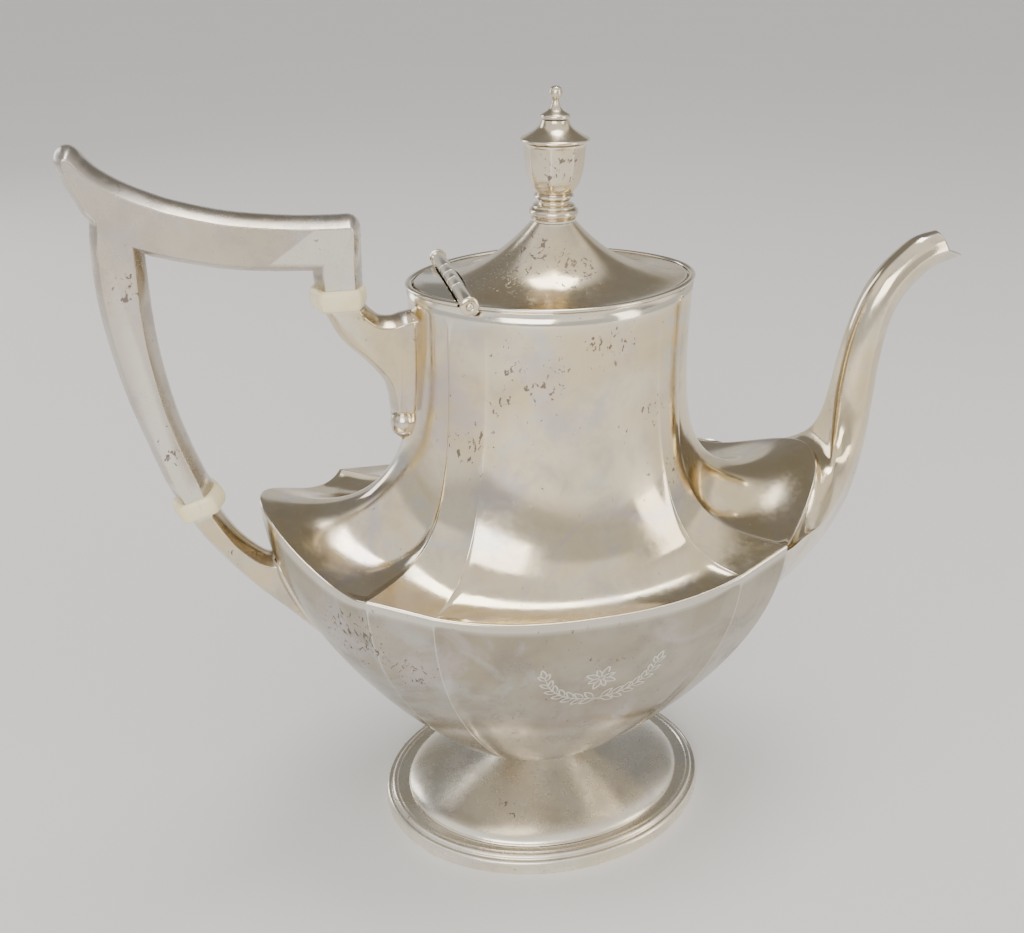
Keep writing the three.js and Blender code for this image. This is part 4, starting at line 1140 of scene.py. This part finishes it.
def make_finial():
    """Collar, eight-panelled urn, cap and knop, from (radius, height) pairs."""
    collar = [(1.8, 209.4), (6.3, 209.4)] + catmull(
        [(6.35, 209.9), (6.1, 210.2), (6.6, 210.6), (6.95, 211.4), (6.75, 212.3), (6.1, 212.8)], 4)
    collar += catmull([(5.9, 212.9), (6.0, 213.2), (5.75, 213.6), (5.2, 213.8)], 4)
    collar += catmull([(4.7, 213.9), (4.4, 214.4), (4.5, 215.0), (4.9, 215.35)], 4)
    collar += [(1.8, 215.35), (1.8, 209.4)]
    piece("finial_collar_turned", turned(collar, 72), LID, ["finial_collar"], sharp=40)

    rings = [(5.0, 215.5), (5.5, 215.65), (5.65, 216.0), (5.5, 216.4), (5.15, 216.6), (5.05, 216.9),
             (5.3, 217.15)]
    rings += catmull([(5.5, 217.3), (6.35, 218.3), (7.15, 220.0), (7.85, 222.4), (8.25, 225.2),
                      (8.45, 228.0), (8.55, 229.8)], 6)
    rings += [(8.5, 230.3), (8.2, 230.5)]
    eighth = math.pi / 8
    loops = []
    for r, z in rings:
        fade = smooth((z - 217.3) / 2.2) * smooth((230.2 - z) / 0.9)
        loop = []
        for a in full_turn(160):
            fold = math.cos(eighth) / math.cos((a + eighth) % (math.pi / 4) - eighth)
            lobe = 1 + (fold - 0.98) * fade * 0.8 - 0.02 * fade
            loop.append((r * lobe * math.cos(a), r * lobe * math.sin(a), z))
        loops.append(loop)
    bore = [[(1.6 * math.cos(a), 1.6 * math.sin(a), z) for a in full_turn(160)]
            for z in (230.5, 215.5)]
    piece("finial_urn_panelled", loft(loops + bore, wrap=True), LID, ["finial_urn"], sharp=40)

    cap = [(1.6, 230.65), (8.6, 230.65)] + catmull(
        [(9.3, 230.75), (9.6, 231.1), (9.5, 231.5), (9.1, 231.8)], 4)
    cap += catmull([(8.8, 231.9), (7.6, 232.5), (6.2, 233.3), (4.9, 234.3), (4.1, 235.4),
                    (3.75, 236.3)], 5)
    cap += [(1.6, 236.4), (1.6, 230.65)]
    piece("finial_cap_turned", turned(cap, 72), LID, ["finial_cap"], sharp=40)

    knop = [(0.01, 236.5), (3.6, 236.5)] + catmull([(3.95, 236.7), (4.12, 237.1), (4.0, 237.6),
                                                  (3.5, 237.95)], 4)
    knop += catmull([(3.2, 238.1), (2.3, 238.6), (1.6, 239.3), (1.15, 240.2), (0.92, 241.2)], 5)
    knop += catmull([(0.95, 241.5), (1.35, 241.8), (1.72, 242.5), (1.8, 243.2), (1.6, 244.1),
                     (1.0, 244.75), (0.01, 244.98)], 4)
    piece("finial_knop_turned", turned(knop, 48), LID, ["finial_knop"], sharp=40)


# ---- engraved scroll spray

def make_engraving():
    """A mirror-symmetric pair of leafy sprays on the front panel. Each line is its own strip with a
    shallow V section, laid on the panel and standing a hair over it."""
    side = [s for s in STATIONS if s["y"] < 0 and abs(s["x"]) <= SOFT[0] + 0.01]
    side.sort(key=lambda s: s["x"])

    def on_panel(u, v):
        """u along the panel in mm, v up it in mm from its middle."""
        for a, b in zip(side, side[1:]):
            if a["x"] <= u <= b["x"]:
                t = (u - a["x"]) / max(b["x"] - a["x"], 1e-6)
                w = ENGRAVE_UP + v * ENGRAVE_SCALE / PANEL_HEIGHT
                return bowl_point(a, w).lerp(bowl_point(b, w), t)
        return bowl_point(side[0], ENGRAVE_UP)

    def leaf(x0, y0, angle, length):
        """The outline of one pointed leaf, from its stalk round its tip and back."""
        c, d = math.cos(angle), math.sin(angle)
        shape = [(0, 0), (0.3, 0.17), (0.6, 0.19), (1.0, 0.0), (0.6, -0.19), (0.3, -0.17), (0, 0)]
        return catmull([(x0 + length * (x * c - y * d), y0 + length * (x * d + y * c))
                        for x, y in shape], 5)

    curves = []
    for hand in (1, -1):
        stem = catmull([(-2.4, -6.2), (1.0, -5.0), (5.5, -4.2), (9.6, -2.2), (12.6, 1.0),
                        (14.0, 5.0)], 8)
        curves.append([(hand * x, y) for x, y in stem])
        for k in range(8, len(stem) - 2, 5):
            x, y = stem[k]
            ahead = math.atan2(stem[k + 1][1] - y, stem[k + 1][0] - x)
            length = 4.2 - 0.045 * k
            for turn in (0.62, -0.62):
                curves.append([(hand * px, py) for px, py in leaf(x, y, ahead + turn, length)])
        x, y = stem[-1]
        curves.append([(hand * px, py) for px, py in leaf(x, y, 1.35, 3.0)])

    for k in range(8):
        angle = math.pi * k / 4 + math.pi / 8
        length = 3.6 if k % 2 else 2.9
        curves.append(leaf(0.5 * math.cos(angle), 2.6 + 0.5 * math.sin(angle), angle, length))

    parts = []
    for curve in curves:
        curve = [(u * ENGRAVE_SCALE + ENGRAVE_SHIFT, v) for u, v in curve]
        path = [on_panel(u, v) for u, v in curve]
        loops = []
        last = len(path) - 1
        for i, p in enumerate(path):
            along = (path[min(i + 1, last)] - path[max(i - 1, 0)]).normalized()
            u, v = curve[i]
            gx = on_panel(u + 0.3, v) - on_panel(u - 0.3, v)
            gy = on_panel(u, v + 0.3) - on_panel(u, v - 0.3)
            normal = gx.cross(gy).normalized()
            if normal.y > 0:
                normal = -normal
            across = along.cross(normal).normalized()
            half = LINE_HALF * (0.35 + 0.65 * math.sin(math.pi * min(max(i / last, 0.04), 0.96)))
            loops.append([p + across * half + normal * LINE_EDGE, p + normal * LINE_CENTRE,
                          p - across * half + normal * LINE_EDGE, p + normal * LINE_ROOT])
        parts.append(loft(loops))
    piece("engraved_scroll_spray", merged(*parts), ENGRAVED, sharp=20)


make_body()
make_rim()
make_foot()
make_spout()
make_handle()
make_sockets()
make_hinge()
make_lid()
make_finial()
make_engraving()

for node in ("finial_stud", "finial_nut", "finial_washer"):
    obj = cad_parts[node]
    obj.data.materials.clear()
    obj.data.materials.append(hidden_metal)


# ---- studio

def make_floor():
    """A wide flat floor in two close pale tones."""
    bm = bmesh.new()
    bmesh.ops.create_grid(bm, x_segments=4, y_segments=4, size=40.0)
    mesh = bpy.data.meshes.new("studio_floor")
    bm.to_mesh(mesh)
    bm.free()
    obj = linked("studio_floor", mesh)
    material, nodes, links, bsdf = new_material("pale_floor")
    n = Nodes(nodes, links)
    links.new(n.blend(n.noise(3.0, 2.0), rgb(0.83, 0.823, 0.81), rgb(0.86, 0.853, 0.84)),
              bsdf.inputs["Base Color"])
    bsdf.inputs["Roughness"].default_value = 0.75
    mesh.materials.append(material)


def area_light(name, place, size, energy, colour, size_y=None):
    """A rectangular light that faces the middle of the pot."""
    data = bpy.data.lights.new(name, "AREA")
    data.shape = "RECTANGLE"
    data.size = size
    data.size_y = size_y or size
    data.energy = energy
    data.color = colour
    obj = linked(name, data)
    obj.location = place
    obj.rotation_euler = (Vector(TARGET) - Vector(place)).to_track_quat("-Z", "Y").to_euler()


def make_world():
    """A soft room: an even pale horizon, windows over it, a bright ceiling and a dim back half."""
    world = bpy.data.worlds.new("soft_room")
    world.use_nodes = True
    nodes, links = world.node_tree.nodes, world.node_tree.links
    n = Nodes(nodes, links)
    background = nodes["Background"]
    split = nodes.new("ShaderNodeSeparateXYZ")
    links.new(nodes["Texture Coordinate"].outputs["Generated"], split.inputs[0])
    azimuth = n.maths("ARCTAN2", split.outputs["Y"], split.outputs["X"])
    wave = n.maths("SINE", n.maths("ADD", n.times(azimuth, 4.0), 0.6), 0.0)
    windows = n.blend(n.ramp(wave, -0.5, 0.4), rgb(0.24, 0.23, 0.21), rgb(1.05, 1.0, 0.92))
    up = n.ramp(split.outputs["Z"], 0.35, 0.8)
    colour = n.blend(up, windows, rgb(0.96, 0.94, 0.91))
    colour = n.blend(n.ramp(split.outputs["Y"], 0.10, 0.36), colour, rgb(0.22, 0.214, 0.205))
    horizon = n.ramp(split.outputs["Z"], 0.27, 0.38, 1.0, 0.0)
    colour = n.blend(horizon, colour, rgb(0.60, 0.596, 0.588))
    links.new(colour, background.inputs["Color"])
    background.inputs["Strength"].default_value = 1.14
    bpy.context.scene.world = world


def make_camera():
    data = bpy.data.cameras.new("camera")
    data.sensor_fit = "HORIZONTAL"
    data.sensor_width = 36.0
    data.lens = 35.92
    data.clip_start = 0.01
    obj = linked("camera", data)
    obj.location = (-0.0824, -0.2780, 0.2789)
    obj.rotation_euler = (math.pi / 2 - 0.474, 0.0, -0.236)
    bpy.context.scene.camera = obj


make_floor()
make_world()
make_camera()
TARGET = (0.0, 0.0, 0.12)           # what the lights face
area_light("key_softbox", (-0.45, -1.05, 0.62), 0.75, 8.0, (1.0, 0.975, 0.93), 0.6)
area_light("fill_softbox", (0.95, -0.75, 0.45), 0.35, 4.0, (1.0, 0.94, 0.84), 0.9)
area_light("top_softbox", (0.15, 0.1, 1.35), 0.45, 5.0, (1.0, 0.99, 0.97))
area_light("rim_softbox", (-0.75, 0.8, 0.5), 0.3, 2.5, (0.97, 0.98, 1.0), 0.8)
